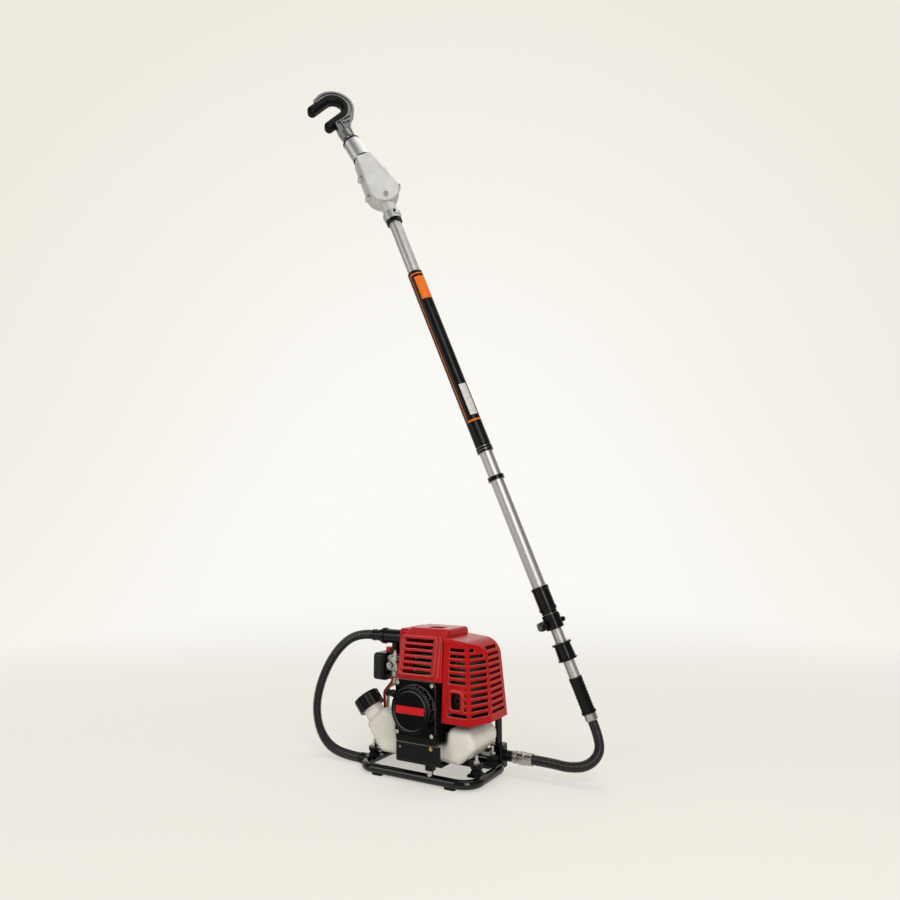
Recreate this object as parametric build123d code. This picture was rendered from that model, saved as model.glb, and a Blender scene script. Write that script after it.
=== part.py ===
from build123d import *
import os
from math import cos, pi, radians, sin, sqrt, tan

# Petrol olive harvester: a small two-stroke engine on a floor hoop drives a telescopic pole,
# which carries a gearbox with a shaking hook.
# Millimetres. The origin is on the floor under the middle of the hoop, X to the right, Y to the back, Z up.
# The recoil starter faces the front. Pole pieces are drawn upright and then leaned to their place.

# Fits
fit_gap = 0.1  # between pieces that are bolted, pressed or clamped together
run_gap = 0.06  # radial, shafts in their bushes
slide_gap = 0.3  # radial, telescoping pieces
free_gap = 1.0  # between a moving piece and what it passes
through = 400.0  # cuts that go right through a piece

# Base frame
hoop_width = 320.0  # between tube centres
hoop_depth = 180.0
hoop_corner = 42.0
hoop_r = 11.0
hoop_wall = 1.6
foot_height = 3.0
foot_length = 30.0
foot_width = 14.0
foot_wrap = 3.0  # how far a foot reaches up round the tube
lug_thick = 4.0
lug_size = 34.0
mount_in_x = 12.0  # rubber mounts, in from the tube centres
mount_in_y = 48.0
mount_height = 18.0
mount_r = 15.0
mount_waist = 11.0
stud_r = 4.0
nut_across = 13.0
nut_height = 7.0
stud_tail = 12.0  # stud standing out of the nut
bar_r = 9.0
bar_wall = 1.5
bar_bend = 40.0
bar_top = 236.0
stay_thick = 4.0
spacer_x = 50.0
spacer_r = 8.0
tab_width = 20.0
tab_drop = 12.0

# Cradle sheet under the tank
sheet = 4.0
cradle_x0 = -36.0
cradle_x1 = 86.0
cradle_bend = 8.0
cradle_front_top = 93.0
cradle_rear_top = 120.0

# Engine
engine_x = 17.0
crank_z = 173.0
case_front = -58.0
case_rear = 52.0
case_r = 54.0
chamber_r = 41.0
case_wall = 9.0
deck_z = 228.0
deck_width = 92.0
deck_depth = 88.0
cylinder_y = -4.0
bore_r = 22.0
barrel_wall = 7.0
dome_z = 284.0
head_z = 302.0
fin_count = 8
fin_thick = 2.2
fin_first = 236.0
fin_pitch = 8.6
fin_width = 96.0
fin_depth = 88.0
fin_corner = 16.0
port_r = 13.0
port_out = 6.0  # ports, beyond the fins
port_room = 6.0  # round the ports, in the cowl
throw = 17.0
pin_r = 6.0
rod_length = 70.0
rod_thick = 9.0
crank_r = 9.0
web_r = 36.0
web_thick = 12.0
piston_height = 34.0
piston_pin_r = 5.0
plug_hex = 19.0

# Fan housing and recoil starter
fan_front = -104.0
fan_half = 57.0
fan_low = 88.0
fan_high = 236.0
fan_corner = 14.0
fan_wall = 4.0
fan_pocket = 54.0
wheel_r = 50.0
wheel_back = -66.0
wheel_front = -92.0
blade_count = 14
blade_thick = 3.0
plate_thick = 4.0
plate_half_height = 65.0
screw_dx = 48.5
screw_dz = 57.0
screw_r = 4.5
drum_r = 55.0
drum_wall = 3.0
drum_depth = 23.0
drum_ring = 8.0
drum_groove = 2.0
vent_count = 14
vent_high = 11.0
reel_r = 34.0
reel_groove = 4.0
reel_thick = 9.0
reel_post = 6.0
rope_r = 1.9
handle_r = 9.0
handle_length = 26.0

# Red covers
cover_wall = 2.5
cowl_x0 = -48.0
cowl_x1 = 84.0
cowl_front = -100.0
cowl_back = 56.0
cowl_lean = 22.0  # how far the front wall leans back over its height
cowl_side_lean = 5.0
cowl_top = 354.0
cowl_brow = 331.0  # top edge of the front wall, from which the roof rises
cowl_crest = -44.0  # where the roof levels out
cowl_round = 9.0
shoulder_x = -66.0
shoulder_front = -58.0
shoulder_back = 48.0
shoulder_low = 298.0
shoulder_drop = 3.0
shoulder_round = 8.0
louvre_x = -5.0  # the louvre frame's middle, from the engine's
louvre_margin = 11.0
rib_width = 5.0
rib_out = 8.0  # from the louvre frame to the rib beside it
slot_count = 6
slot_width = 82.0
slot_high = 8.5
slot_pitch = 14.8
slot_low = 252.0
frame_rise = 3.0
frame_rim = 6.0
plug_window = 46.0
guard_front = -98.0
guard_back = 54.0
guard_right = 184.0
guard_chamfer_x = 160.0
guard_chamfer_y = -33.0
guard_low = 146.0
guard_top = 338.0
guard_top_in = 14.0  # how far the right wall leans in
guard_front_in = 12.0
guard_slope = 9.0  # how far the top falls towards the shoulder
guard_shoulder = 44.0
guard_round = 6.0
guard_margin = 17.0  # plain strip beside the cowl
guard_band = 7.0  # plain strip along each corner
guard_slot_count = 11
guard_slot_pitch = 14.6
guard_slot_high = 8.0
port_x = 122.0
port_z = 198.0
port_wide = 27.0
port_high = 38.0
pipe_r = 8.0

# Muffler
muffler_x0 = 92.0
muffler_x1 = 140.0
muffler_front = -74.0
muffler_back = 34.0
muffler_low = 150.0
muffler_high = 300.0
muffler_round = 12.0
muffler_wall = 2.0
seam_out = 4.0

# Carburettor side
carb_x = -104.0
carb_y = -14.0
carb_z = 256.0
carb_half = 17.0
carb_bore = 9.0
bowl_low = 32.0  # the float bowl's bottom, below the bore
bowl_drop = 36.0  # its nipple
carb_neck = 25.0  # top of the neck, above the bore
throttle_up = 8.0
throttle_out = 24.0
throttle_r = 3.0
filter_x0 = -156.0
filter_x1 = -130.0
filter_half_y = 31.0
filter_low = 214.0
filter_high = 282.0
filter_wall = 2.0
elbow_z = 323.0
elbow_r = 18.0
elbow_x0 = -146.0
elbow_x1 = -70.0
neck_r = 11.0
union_r = 15.0
union_length = 34.0
knob_r = 8.5
knob_height = 13.0

# Intake hose, free between the union and the left rail
intake_r = 11.0
intake_route = [
    (-180.2, -14.0, 323.0),
    (-228.0, -14.0, 323.0),
    (-284.0, -18.0, 290.0),
    (-331.0, -23.0, 226.0),
    (-358.0, -28.0, 146.0),
    (-350.0, -32.0, 80.0),
    (-312.0, -36.0, 32.0),
    (-252.0, -40.0, 14.0),
    (-191.0, -40.0, 14.0),
]
socket_r = 14.0
socket_out = 31.0  # beyond the left rail's centre

# Fuel tank
tank_front = -82.0
tank_back = 52.0
tank_right = 160.0
tank_left = -106.0
tank_saddle = 86.0
saddle_right = 82.0
saddle_left = -46.0
tank_toe = 40.0  # the slanted corner under the right lobe
tank_flank = 6.0  # how far the lobes' inner sides lean back
tank_beak = 46.0  # beyond the left end of the floor
beak_z = 112.0
tank_slant = 70.3  # from the beak up to the left lobe's shoulder
tank_right_top = 132.0
tank_left_top = 150.0
tank_wall = 2.5
tank_round = 20.0
tank_edge = 16.0
neck_up = 24.0  # the filler, up the slant from the beak
neck_y = -52.0
neck_tilt = 40.0
neck_length = 42.0
filler_r = 24.0
neck_sunk = 12.0
cap_r = 34.0
cap_height = 36.0
cap_grip = 18.0  # how far the cap reaches down over the neck
cap_lobes = 12
fuel_line_r = 4.5
return_line_r = 3.6
line_bend = 11.0

# Clutch and rear drive
flange_r = 60.0
flange_thick = 8.0
clutch_mouth = 46.0
nose_r = 20.0
nose_y = 100.0
clutch_drum_r = 39.0
clutch_wall = 2.5
shoe_r = 35.0
output_r = 6.0
drive_z = 42.0
block_size = 36.0
block_top = 68.0
stub_r = 13.0
stub_out = 23.3  # beyond the block
hose_r = 12.0
outlet_r = 16.0
outlet_z = 122.0
rear_hose_bend = 76.0

# Coupling and flexible drive hose, free between the coupling and the pole
coupling_r = 15.0
coupling_half = 14.0  # from the stub to the collar
collar_length = 19.0
coupling_end = 19.0  # from the collar to the hose
collar_travel = 6.0
hose_reach = (145.0, 18.3, 107.0)  # from the coupling's end to the pole's foot

# Pole, with stations along its axis from the bottom of the ferrule
pole_turn = 15.0  # the vertical plane in which it leans, from the X axis
pole_lean = 21.2
pole_twist = 28.0  # how far the head faces round to the right
ferrule_length = 17.0
ferrule_wall = 1.5
inner_r = 14.0
inner_wall = 1.6
inner_top = 900.0
inner_slack = 1.9  # room for the slide bush between the two tubes
outer_wall = 1.6
outer_low = 262.0
grip_top = 104.0
grip_wall = 2.5
grip_ribs = 9
stop_low = 146.0
stop_high = 190.0
stop_wall = 8.0
stop_rim = 2.5
clamp_low = 225.0
clamp_high = 266.0
clamp_wall = 8.5
ear_length = 18.5  # beyond the clamp's barrel
ear_thick = 7.0
ear_gap = 3.0
bolt_r = 3.0
clamp_knob_r = 9.0
clamp_knob_thick = 13.0
end_sleeve_low = 270.0
end_sleeve_high = 331.0
end_sleeve_wall = 5.0
end_neck_wall = 2.0
ring_station = 620.0
double_ring_station = 700.0
ring_wall = 4.5
ring_width = 11.0
sleeve_low = 716.0
sleeve_high = 1250.0
sleeve_wall = 3.5
shaft_r = 5.0
shaft_square = 8.0
shaft_square_low = 500.0
shaft_top = 1000.0
upper_shaft_r = 8.0
upper_shaft_low = 540.0
bush_length = 16.0

# Gearbox head, drawn about the crank gear's centre
gear_out = 65.0  # beyond the end of the outer tube
head_tilt = 10.0
body_r = 48.0
top_r = 27.0
top_z = 112.0
body_front = -27.0
body_back = 30.0
body_wall = 5.5
body_draft = 6.0
boss_r = 7.0
boss_thick = 9.0
boss_spots = [(50.5, -3.0), (39.5, 63.0)]
screw_shank = 2.5
neck_wall = 4.0
bearing_out = 14.0
collar_in = 10.0  # from the end of the tube down to the collar
collar_high = 34.0
collar_wall = 8.5
collar_rim = 10.0
tube_end = 1460.0
gear_r = 37.0
gear_root = 12.5
gear_back = 19.0
gear_teeth = 35
gear_shaft_r = 9.0
crown_root = 3.6
crown_tip = 0.9
tooth_top = 2.0
tooth_root = 2.5
tooth_high = 4.3
tooth_length = 6.0
pinion_r = 10.0
pinion_low = -36.5
pinion_high = -31.0
pinion_teeth = 10
pinion_root = 3.6
pinion_tip = 1.0
pinion_bore = 5.0
crank_throw = 20.0
crank_pin_r = 5.0
pin_tip = -10.6
head_rod_front = -18.0
head_rod_back = -11.0
head_rod_length = 60.0
head_eye = 8.5
wrist_eye = 7.5
crosshead_r = 11.0
crosshead_low = 29.0
crosshead_high = 58.0
wrist_r = 4.0
guide_low = 108.0
guide_high = 190.0
guide_r = 26.0
guide_ring = 5.0
guide_spigot = 15.0
guide_seat = 120.0
guide_bush_r = 12.0
plunger_r = 8.0
plunger_top = 212.0
seal_r = 21.0
seal_thick = 5.0
hook_nut = 26.0

# Hook, drawn about the centre of its bend with its mouth to the left
hook_z = 311.0
hook_x = 6.0
hook_tilt = 19.0
hook_out = 60.0
hook_mid = 42.0
hook_gap = 22.0
hook_thick = 22.0
hook_rim = 6.0
hook_pocket = 2.5
upper_arm = 27.0
upper_tip = 14.0
lower_arm = 16.0
lower_tip = 14.0
liner_thick = 30.0
liner_upper = 54.0
liner_lower = 57.0
liner_tip_r = 13.5
liner_round = 10.0
hook_neck_low = 204.0
hook_neck_top = 262.0
hook_neck_wide = 44.0
hook_neck_narrow = 33.0
neck_rim = 5.0
neck_rib = 4.0
neck_pocket = 3.5

# Worked out from the sizes above
hoop_z = foot_height + hoop_r
hoop_top = hoop_z + hoop_r
lug_top = hoop_top + lug_thick - 1.0
cradle_low = lug_top + mount_height
cradle_floor = cradle_low + sheet
mount_x = hoop_width / 2 - mount_in_x
mount_y = hoop_depth / 2 - mount_in_y
tank_low = cradle_floor + fit_gap
slant_way = Vector(cos(radians(neck_tilt)), sin(radians(neck_tilt)))
beak_point = Vector(tank_left - tank_beak, beak_z)
shoulder_point = beak_point + slant_way * tank_slant
neck_point = beak_point + slant_way * neck_up
corner_in = hoop_corner * (1 - sqrt(0.5))
bar_x = hoop_width / 2 - corner_in
bar_y = hoop_depth / 2 - corner_in
drive_y = bar_y
stub_end = bar_x + block_size / 2 + stub_out
collar_x0 = stub_end + coupling_half
collar_x1 = collar_x0 + collar_length
coupling_x1 = collar_x1 + coupling_end
pole_foot = tuple(Vector(coupling_x1, drive_y, drive_z) + Vector(*hose_reach))
outer_r = inner_r + inner_slack + outer_wall
ferrule_r = inner_r + ferrule_wall
grip_r = inner_r + grip_wall
stop_r = inner_r + stop_wall
stop_flange = stop_r + stop_rim
clamp_r = inner_r + clamp_wall
ear_reach = clamp_r + ear_length
end_sleeve_r = outer_r + end_sleeve_wall
ring_r = outer_r + ring_wall
sleeve_r = outer_r + sleeve_wall
neck_out = outer_r + neck_wall
collar_out = outer_r + collar_wall
gear_station = tube_end + gear_out
crank_place = Pos(engine_x, 0, crank_z) * Rot(X=-90)
port_mid = (deck_z + dome_z) / 2
guard_slant = Vector(guard_right - guard_chamfer_x, guard_chamfer_y - guard_front)
plate_front = fan_front - plate_thick
drum_front = plate_front - drum_depth
rope_z = crank_z + reel_r - reel_groove / 2
rope_y = plate_front - drum_depth / 2

# The pole's own frame, its head frame and its hook frame
lean_dir = Vector(cos(radians(pole_turn)), sin(radians(pole_turn)), 0)
pole_axis = Vector(0, 0, cos(radians(pole_lean))) - lean_dir * sin(radians(pole_lean))
pole_side = lean_dir * cos(radians(pole_lean)) + Vector(0, 0, sin(radians(pole_lean)))
hose_route = [
    (coupling_x1, drive_y, drive_z),
    (coupling_x1 + 43, drive_y, drive_z),
    (coupling_x1 + 93, drive_y + 3, drive_z - 5),
    (pole_foot[0] - 9, drive_y + 8.8, drive_z + 4),
    (pole_foot[0] + 17.5, pole_foot[1] - 1, drive_z + 34),
    tuple(Vector(*pole_foot) - pole_axis * 39),
    pole_foot,
]
pole_plane = Plane(origin=pole_foot, x_dir=pole_side, z_dir=pole_axis)
pole_place = pole_plane.location * Rot(Z=pole_twist)
gear_place = pole_place * Pos(0, 0, gear_station)
head_place = gear_place * Rot(Y=-head_tilt)

ON_BASE = (Align.CENTER, Align.CENTER, Align.MIN)
nodes = {}


def keep(name, *solids):
    """Adds solids to one named piece."""
    nodes.setdefault(name, []).extend(solids)


def rod(start, end, radius):
    """A round bar between two points."""
    axis = Vector(*end) - Vector(*start)
    return Plane(origin=start, z_dir=axis) * Cylinder(radius, axis.length, align=ON_BASE)


def pipe(start, end, radius, bore):
    """A straight tube between two points."""
    return rod(start, end, radius) - rod(start, end, bore)


def post(radius, low, high):
    """A round bar along Z."""
    return rod((0, 0, low), (0, 0, high), radius)


def ring(radius, bore, low, high):
    """A tube along Z."""
    return post(radius, low, high) - post(bore, low, high)


def block(low, high):
    """A box between two corners."""
    middle = (Vector(*low) + Vector(*high)) * 0.5
    size = Vector(*high) - Vector(*low)
    return Pos(*middle) * Box(*size)


def turned(*points):
    """A body turned about Z from (radius, height) points."""
    return revolve(Plane.XZ * make_face(Polyline(*points, close=True)), Axis.Z)


def bent(points, radius, bend):
    """A bar bent along a route, with the same bend at every corner."""
    path = FilletPolyline(*points, radius=bend)
    return sweep(Plane(origin=path @ 0, z_dir=path % 0) * Circle(radius), path=path)


def cord(name, points, radius):
    """A cord's tube along its route, with each bend as wide as its runs allow."""
    corners = [Vector(*p) for p in points]
    runs = [b - a for a, b in zip(corners, corners[1:])]
    bends = []
    for before, after in zip(runs, runs[1:]):
        half_turn = radians(before.get_angle(after)) / 2
        bends.append(0.45 * min(before.length, after.length) / tan(half_turn))
    path = FilletPolyline(*points, radius=bends)
    tube = sweep(Plane(origin=path @ 0, z_dir=path % 0) * Circle(radius), path=path)
    section = pi * radius**2 * path.length
    print(name, "bends", [round(b) for b in bends], "length", round(path.length))
    print(name, "volume over section times length", round(tube.volume / section, 4))
    return tube


def hex_prism(across, low, high):
    """A hexagon nut's body along Z."""
    return Pos(0, 0, low) * extrude(RegularPolygon(across / 2, 6, major_radius=False), high - low)


def corners_of(x, y):
    """The four points of a rectangle centred on the origin."""
    return [(i, j) for i in (-x, x) for j in (-y, y)]


def hoop_bar(radius):
    """A round bar bent into the closed floor hoop."""
    path = (Pos(0, 0, hoop_z) * RectangleRounded(hoop_width, hoop_depth, hoop_corner)).wire()
    return sweep(Plane(origin=path @ 0, z_dir=path % 0) * Circle(radius), path=path)


def base_frame():
    hoop_solid = hoop_bar(hoop_r)
    hoop = hoop_solid
    for x, y in corners_of(mount_x, mount_y):
        half = lug_size / 2
        lug = block((x - half, y - half, hoop_top - 2), (x + half, y + half, lug_top))
        hoop += lug - rod((x, y, 0), (x, y, lug_top), stud_r + fit_gap)
    keep("base_hoop", hoop - hoop_bar(hoop_r - hoop_wall))

    feet = []
    for x, y in corners_of(hoop_width / 2 - hoop_corner - foot_length / 2, hoop_depth / 2):
        foot = Pos(x, y) * extrude(RectangleRounded(foot_length, foot_width, 6), foot_height + foot_wrap)
        feet.append(foot - hoop_solid)
    keep("rubber_mounts", *feet)

    bobbins = []
    studs = []
    for x, y in corners_of(mount_x, mount_y):
        flank = mount_height / 4
        outline = [
            (stud_r + fit_gap, 0),
            (mount_r, 0),
            (mount_r, flank),
            (mount_waist, 2 * flank),
            (mount_r, 3 * flank),
            (mount_r, mount_height),
            (stud_r + fit_gap, mount_height),
        ]
        bobbins.append(Pos(x, y, lug_top) * turned(*outline))
        nut = hex_prism(nut_across, cradle_floor, cradle_floor + nut_height)
        tail = cradle_floor + nut_height + stud_tail
        stud = post(stud_r, lug_top - lug_thick, tail) + nut
        studs.append(Pos(x, y) * stud - hoop_solid)
    keep("rubber_mounts", *bobbins)
    keep("studs_and_screws", *studs)

    front = -hoop_depth / 2
    spacer = rod((spacer_x, front, hoop_z), (spacer_x, front, cradle_low - tab_drop), spacer_r)
    keep("studs_and_screws", spacer - hoop_solid)

    legs = [
        (-bar_x, bar_y, hoop_z),
        (-bar_x, bar_y, bar_top),
        (bar_x, bar_y, bar_top),
        (bar_x, bar_y, block_top - 10),
    ]
    rear_bar = bent(legs, bar_r, bar_bend) - bent(legs, bar_r - bar_wall, bar_bend)
    keep("rear_bar", rear_bar - hoop_solid)

    half = block_size / 2
    clamp_block = block((bar_x - half, bar_y - half, hoop_z), (bar_x + half, bar_y + half, block_top))
    clamp_block = fillet(clamp_block.edges().filter_by(Axis.Z), 8)
    clamp_block -= hoop_solid
    clamp_block -= rod((bar_x - half, drive_y, drive_z), (bar_x + half, drive_y, drive_z), stub_r + fit_gap)
    clamp_block -= rod((bar_x, bar_y, block_top - 10), (bar_x, bar_y, block_top), bar_r + fit_gap)
    keep("frame_fittings", clamp_block)

    end = Vector(*intake_route[-1])
    seat = (-hoop_width / 2 - socket_out, end.Y, end.Z)
    socket = pipe(seat, (-hoop_width / 2, end.Y, end.Z), socket_r, intake_r)
    keep("frame_fittings", socket - hoop)


def cradle():
    """Bent sheet with a front wall, a floor and a rear wall, and a strap to each rubber mount."""
    half = sheet / 2
    low = cradle_low + half
    front = fan_front - half
    rear = case_rear + flange_thick + half + fit_gap
    side = FilletPolyline(
        (front, cradle_front_top), (front, low), (rear, low), (rear, cradle_rear_top), radius=cradle_bend
    )
    body = extrude(Plane.YZ.offset(cradle_x0) * trace(side, sheet), cradle_x1 - cradle_x0)
    for x, y in corners_of(mount_x, mount_y):
        inner = cradle_x0 if x < 0 else cradle_x1
        strap = block((min(inner, x), y - mount_r, cradle_low), (max(inner, x), y + mount_r, cradle_floor))
        strap += rod((x, y, cradle_low), (x, y, cradle_floor), mount_r)
        body += strap
        body -= rod((x, y, cradle_low), (x, y, cradle_floor), stud_r + fit_gap)
    tab_front = -hoop_depth / 2 - spacer_r
    body += block(
        (spacer_x - tab_width / 2, tab_front, cradle_low - tab_drop),
        (spacer_x + tab_width / 2, tab_front + 2 * spacer_r, cradle_low + half),
    )
    nose_hole = rod((engine_x, rear - sheet, crank_z), (engine_x, rear + sheet, crank_z), clutch_mouth + 3)
    keep("engine_cradle", body - nose_hole)


def crankcase():
    barrel = rod((0, 0, case_front), (0, 0, case_rear), case_r)
    case = crank_place * barrel
    deck = extrude(RectangleRounded(deck_width, deck_depth, 12), deck_z - crank_z)
    case += Pos(engine_x, cylinder_y, crank_z) * deck
    chamber = crank_place * post(chamber_r, case_front + case_wall, case_rear - case_wall)
    case -= chamber
    case -= rod((engine_x, cylinder_y, crank_z), (engine_x, cylinder_y, deck_z), bore_r + 2)
    case -= crank_place * post(crank_r + run_gap, case_front, case_rear)
    keep("crankcase", case)

    # The crank is open at its pin: the pin stops short of the rod's big end.
    rod_back = cylinder_y + rod_thick / 2
    pin_end = rod_back + fit_gap * 3
    web_front = pin_end + 8
    shaft = post(crank_r, web_front, case_rear + 14)
    web = Pos(0, 0, web_front) * extrude(
        make_hull((Circle(web_r * 0.62).edges() + (Pos(0, -throw) * Circle(12)).edges())), web_thick
    )
    pin = Pos(0, -throw) * post(pin_r, pin_end, web_front)
    weight = Pos(0, 14, web_front) * extrude(Rectangle(44, 24), web_thick)
    web += weight & post(web_r, web_front, web_front + web_thick)
    front_web_back = cylinder_y - rod_thick / 2 - 3
    front_shaft = post(crank_r, wheel_front - 6, front_web_back)
    front_shaft += post(web_r, front_web_back - web_thick, front_web_back)
    keep("crankshaft", crank_place * (shaft + web + pin), crank_place * front_shaft)

    eye_z = crank_z + throw
    wrist_z = eye_z + rod_length
    big = Pos(engine_x, cylinder_y, eye_z) * Rot(X=90) * Cylinder(pin_r + 5, rod_thick)
    small = Pos(engine_x, cylinder_y, wrist_z) * Rot(X=90) * Cylinder(piston_pin_r + 4, rod_thick)
    blade = block((engine_x - 5, cylinder_y - 3, eye_z), (engine_x + 5, cylinder_y + 3, wrist_z))
    con_rod = big + small + blade
    con_rod -= Pos(engine_x, cylinder_y, wrist_z) * Rot(X=90) * Cylinder(piston_pin_r + run_gap, rod_thick)
    con_rod -= Pos(engine_x, cylinder_y, eye_z) * Rot(X=90) * Cylinder(pin_r + run_gap, rod_thick)
    keep("piston", con_rod)

    skirt_low = wrist_z - 14
    piston = post(bore_r - run_gap, 0, piston_height) - post(bore_r - 4, -1, piston_height - 6)
    for groove in (3, 7):
        piston -= ring(bore_r, bore_r - 1.5, piston_height - groove - 1.5, piston_height - groove)
    piston = Pos(engine_x, cylinder_y, skirt_low) * piston
    pin_bar = Pos(engine_x, cylinder_y, wrist_z) * Rot(X=90) * Cylinder(piston_pin_r, 2 * bore_r - 6)
    keep("piston", piston + pin_bar)


def cylinder():
    place = Pos(engine_x, cylinder_y)
    barrel = post(bore_r + barrel_wall, deck_z, head_z - 6) + post(bore_r + 4, head_z - 6, head_z)
    fin = RectangleRounded(fin_width, fin_depth, fin_corner)
    for i in range(fin_count):
        barrel += Pos(0, 0, fin_first + i * fin_pitch) * extrude(fin, fin_thick)
    barrel += Pos(0, 0, deck_z) * extrude(RectangleRounded(deck_width - 20, deck_depth - 20, 8), 4)
    barrel += rod((0, 0, port_mid), (fin_width / 2 + port_out, 0, port_mid), port_r + 4)
    barrel += rod((0, 0, port_mid), (-fin_width / 2 - port_out, 0, port_mid), port_r + 3)
    barrel -= rod((0, 0, port_mid), (fin_width, 0, port_mid), port_r - 2)
    barrel -= rod((0, 0, port_mid), (-fin_width, 0, port_mid), port_r - 4)
    barrel -= post(bore_r, deck_z, dome_z)
    barrel -= post(5 + fit_gap, dome_z, head_z)
    keep("cylinder", place * barrel)

    plug = post(5, dome_z, head_z) + hex_prism(plug_hex, head_z, head_z + 9)
    plug += turned((0, head_z + 9), (6.5, head_z + 9), (5, head_z + 24), (0, head_z + 24))
    keep("ignition_parts", place * plug)
    boot = turned(
        (5 + fit_gap, head_z + 24.3),
        (10, head_z + 24.3),
        (11, head_z + 30),
        (10, head_z + 42),
        (0, head_z + 42),
        (0, head_z + 36),
        (5 + fit_gap, head_z + 36),
    )
    boot += rod((0, 0, head_z + 36), (-20, 12, head_z + 36), 4.5)
    keep("ignition_parts", place * boot)


def starter():
    outline = RectangleRounded(2 * fan_half, fan_high - fan_low, fan_corner)
    middle = (fan_high + fan_low) / 2
    rear_face = Plane.XZ.offset(fit_gap - case_front) * Pos(engine_x, middle)
    housing = extrude(rear_face * outline, case_front - fit_gap - fan_front)
    housing -= crank_place * post(fan_pocket, fan_front - 1, case_front - fan_wall)
    housing -= crank_place * post(26, fan_front, case_front)
    housing -= block(
        (engine_x - 38, fan_front + 8, crank_z), (engine_x + 38, case_front - fan_wall, fan_high + 1)
    )
    keep("fan_housing", housing)

    wheel = turned(
        (crank_r + fit_gap, wheel_front),
        (16, wheel_front),
        (18, wheel_back - 8),
        (wheel_r, wheel_back - 5),
        (wheel_r, wheel_back),
        (crank_r + fit_gap, wheel_back),
    )
    vane_inner = 24
    vane = Pos((wheel_r + vane_inner) / 2 - 0.5, 0, (wheel_front + wheel_back) / 2 - 2)
    vane = vane * Rot(Z=18) * Box(wheel_r - vane_inner - 3, blade_thick, wheel_back - wheel_front - 6)
    for i in range(blade_count):
        wheel += Rot(Z=i * 360 / blade_count) * vane
    keep("flywheel_fan", crank_place * wheel)

    coil = block(
        (engine_x + 10, fan_front + 16, fan_high - 22), (engine_x + 38, case_front - 12, fan_high + 12)
    )
    keep("ignition_parts", coil - crank_place * post(wheel_r + 3.5, fan_front, case_front))

    plate = RectangleRounded(2 * fan_half, 2 * plate_half_height, fan_corner)
    cover = extrude(Plane.XZ.offset(-fan_front) * Pos(engine_x, crank_z) * plate, plate_thick)
    cover -= crank_place * post(drum_r - drum_wall, plate_front - 1, fan_front + 1)
    face = drum_front + drum_groove
    shell = turned(
        (drum_r - drum_wall, plate_front),
        (drum_r, plate_front),
        (drum_r, drum_front + 3),
        (drum_r - 3, drum_front),
        (drum_r - drum_ring, drum_front),
        (drum_r - drum_ring - 1, face),
        (drum_r - drum_ring - 3, face),
        (drum_r - drum_ring - 4, drum_front + 0.5),
        (0, drum_front + 0.5),
        (0, drum_front + 4),
        (drum_r - drum_wall, drum_front + 4),
    )
    shell += post(reel_post, drum_front + 3, plate_front + 4)
    vent = Pos(drum_r, 0, (plate_front + drum_front) / 2 + 1) * Box(20, 14, vent_high)
    for i in range(vent_count):
        angle = (i + 0.5) * 360 / vent_count
        near_rope = 190 < angle < 250
        if not near_rope:
            shell -= Rot(Z=angle) * vent
    cover += crank_place * shell
    exit_hole = rod((engine_x, rope_y, rope_z), (engine_x - 2 * drum_r, rope_y, rope_z), rope_r + free_gap)
    cover -= exit_hole
    for x, z in corners_of(screw_dx, screw_dz):
        cover -= rod((engine_x + x, fan_front, crank_z + z), (engine_x + x, plate_front, crank_z + z), 2.6)
    keep("starter_housing", cover)

    screws = []
    for x, z in corners_of(screw_dx, screw_dz):
        place = Pos(engine_x + x, plate_front, crank_z + z) * Rot(X=90)
        screws.append(place * (post(screw_r, 0, 3.5) + post(2.5, -plate_thick, 0) - hex_prism(4, 1.5, 3.5)))
    keep("studs_and_screws", *screws)

    middle = rope_y
    half = reel_thick / 2
    reel = turned(
        (reel_post + run_gap, middle - half),
        (reel_r + 2, middle - half),
        (reel_r + 2, middle - half + 2),
        (reel_r - reel_groove, middle - half + 2.4),
        (reel_r - reel_groove, middle + half - 2.4),
        (reel_r + 2, middle + half - 2),
        (reel_r + 2, middle + half),
        (reel_post + run_gap, middle + half),
    )
    keep("starter_reel", crank_place * reel)

    exit_x = engine_x - sqrt(drum_r**2 - (rope_z - crank_z) ** 2)
    grip_x = exit_x - 4
    rope = rod((engine_x, rope_y, rope_z), (grip_x - 9.5, rope_y, rope_z), rope_r)
    keep("starter_handle", rope)
    grip = turned(
        (rope_r + fit_gap, 0),
        (5, 0),
        (handle_r, 6),
        (handle_r - 1.5, handle_length * 0.6),
        (handle_r, handle_length - 3),
        (handle_r - 3, handle_length),
        (0, handle_length),
        (0, 10),
        (rope_r + fit_gap, 10),
    )
    keep("starter_handle", Pos(grip_x, rope_y, rope_z) * Rot(Y=-90) * grip)


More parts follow.
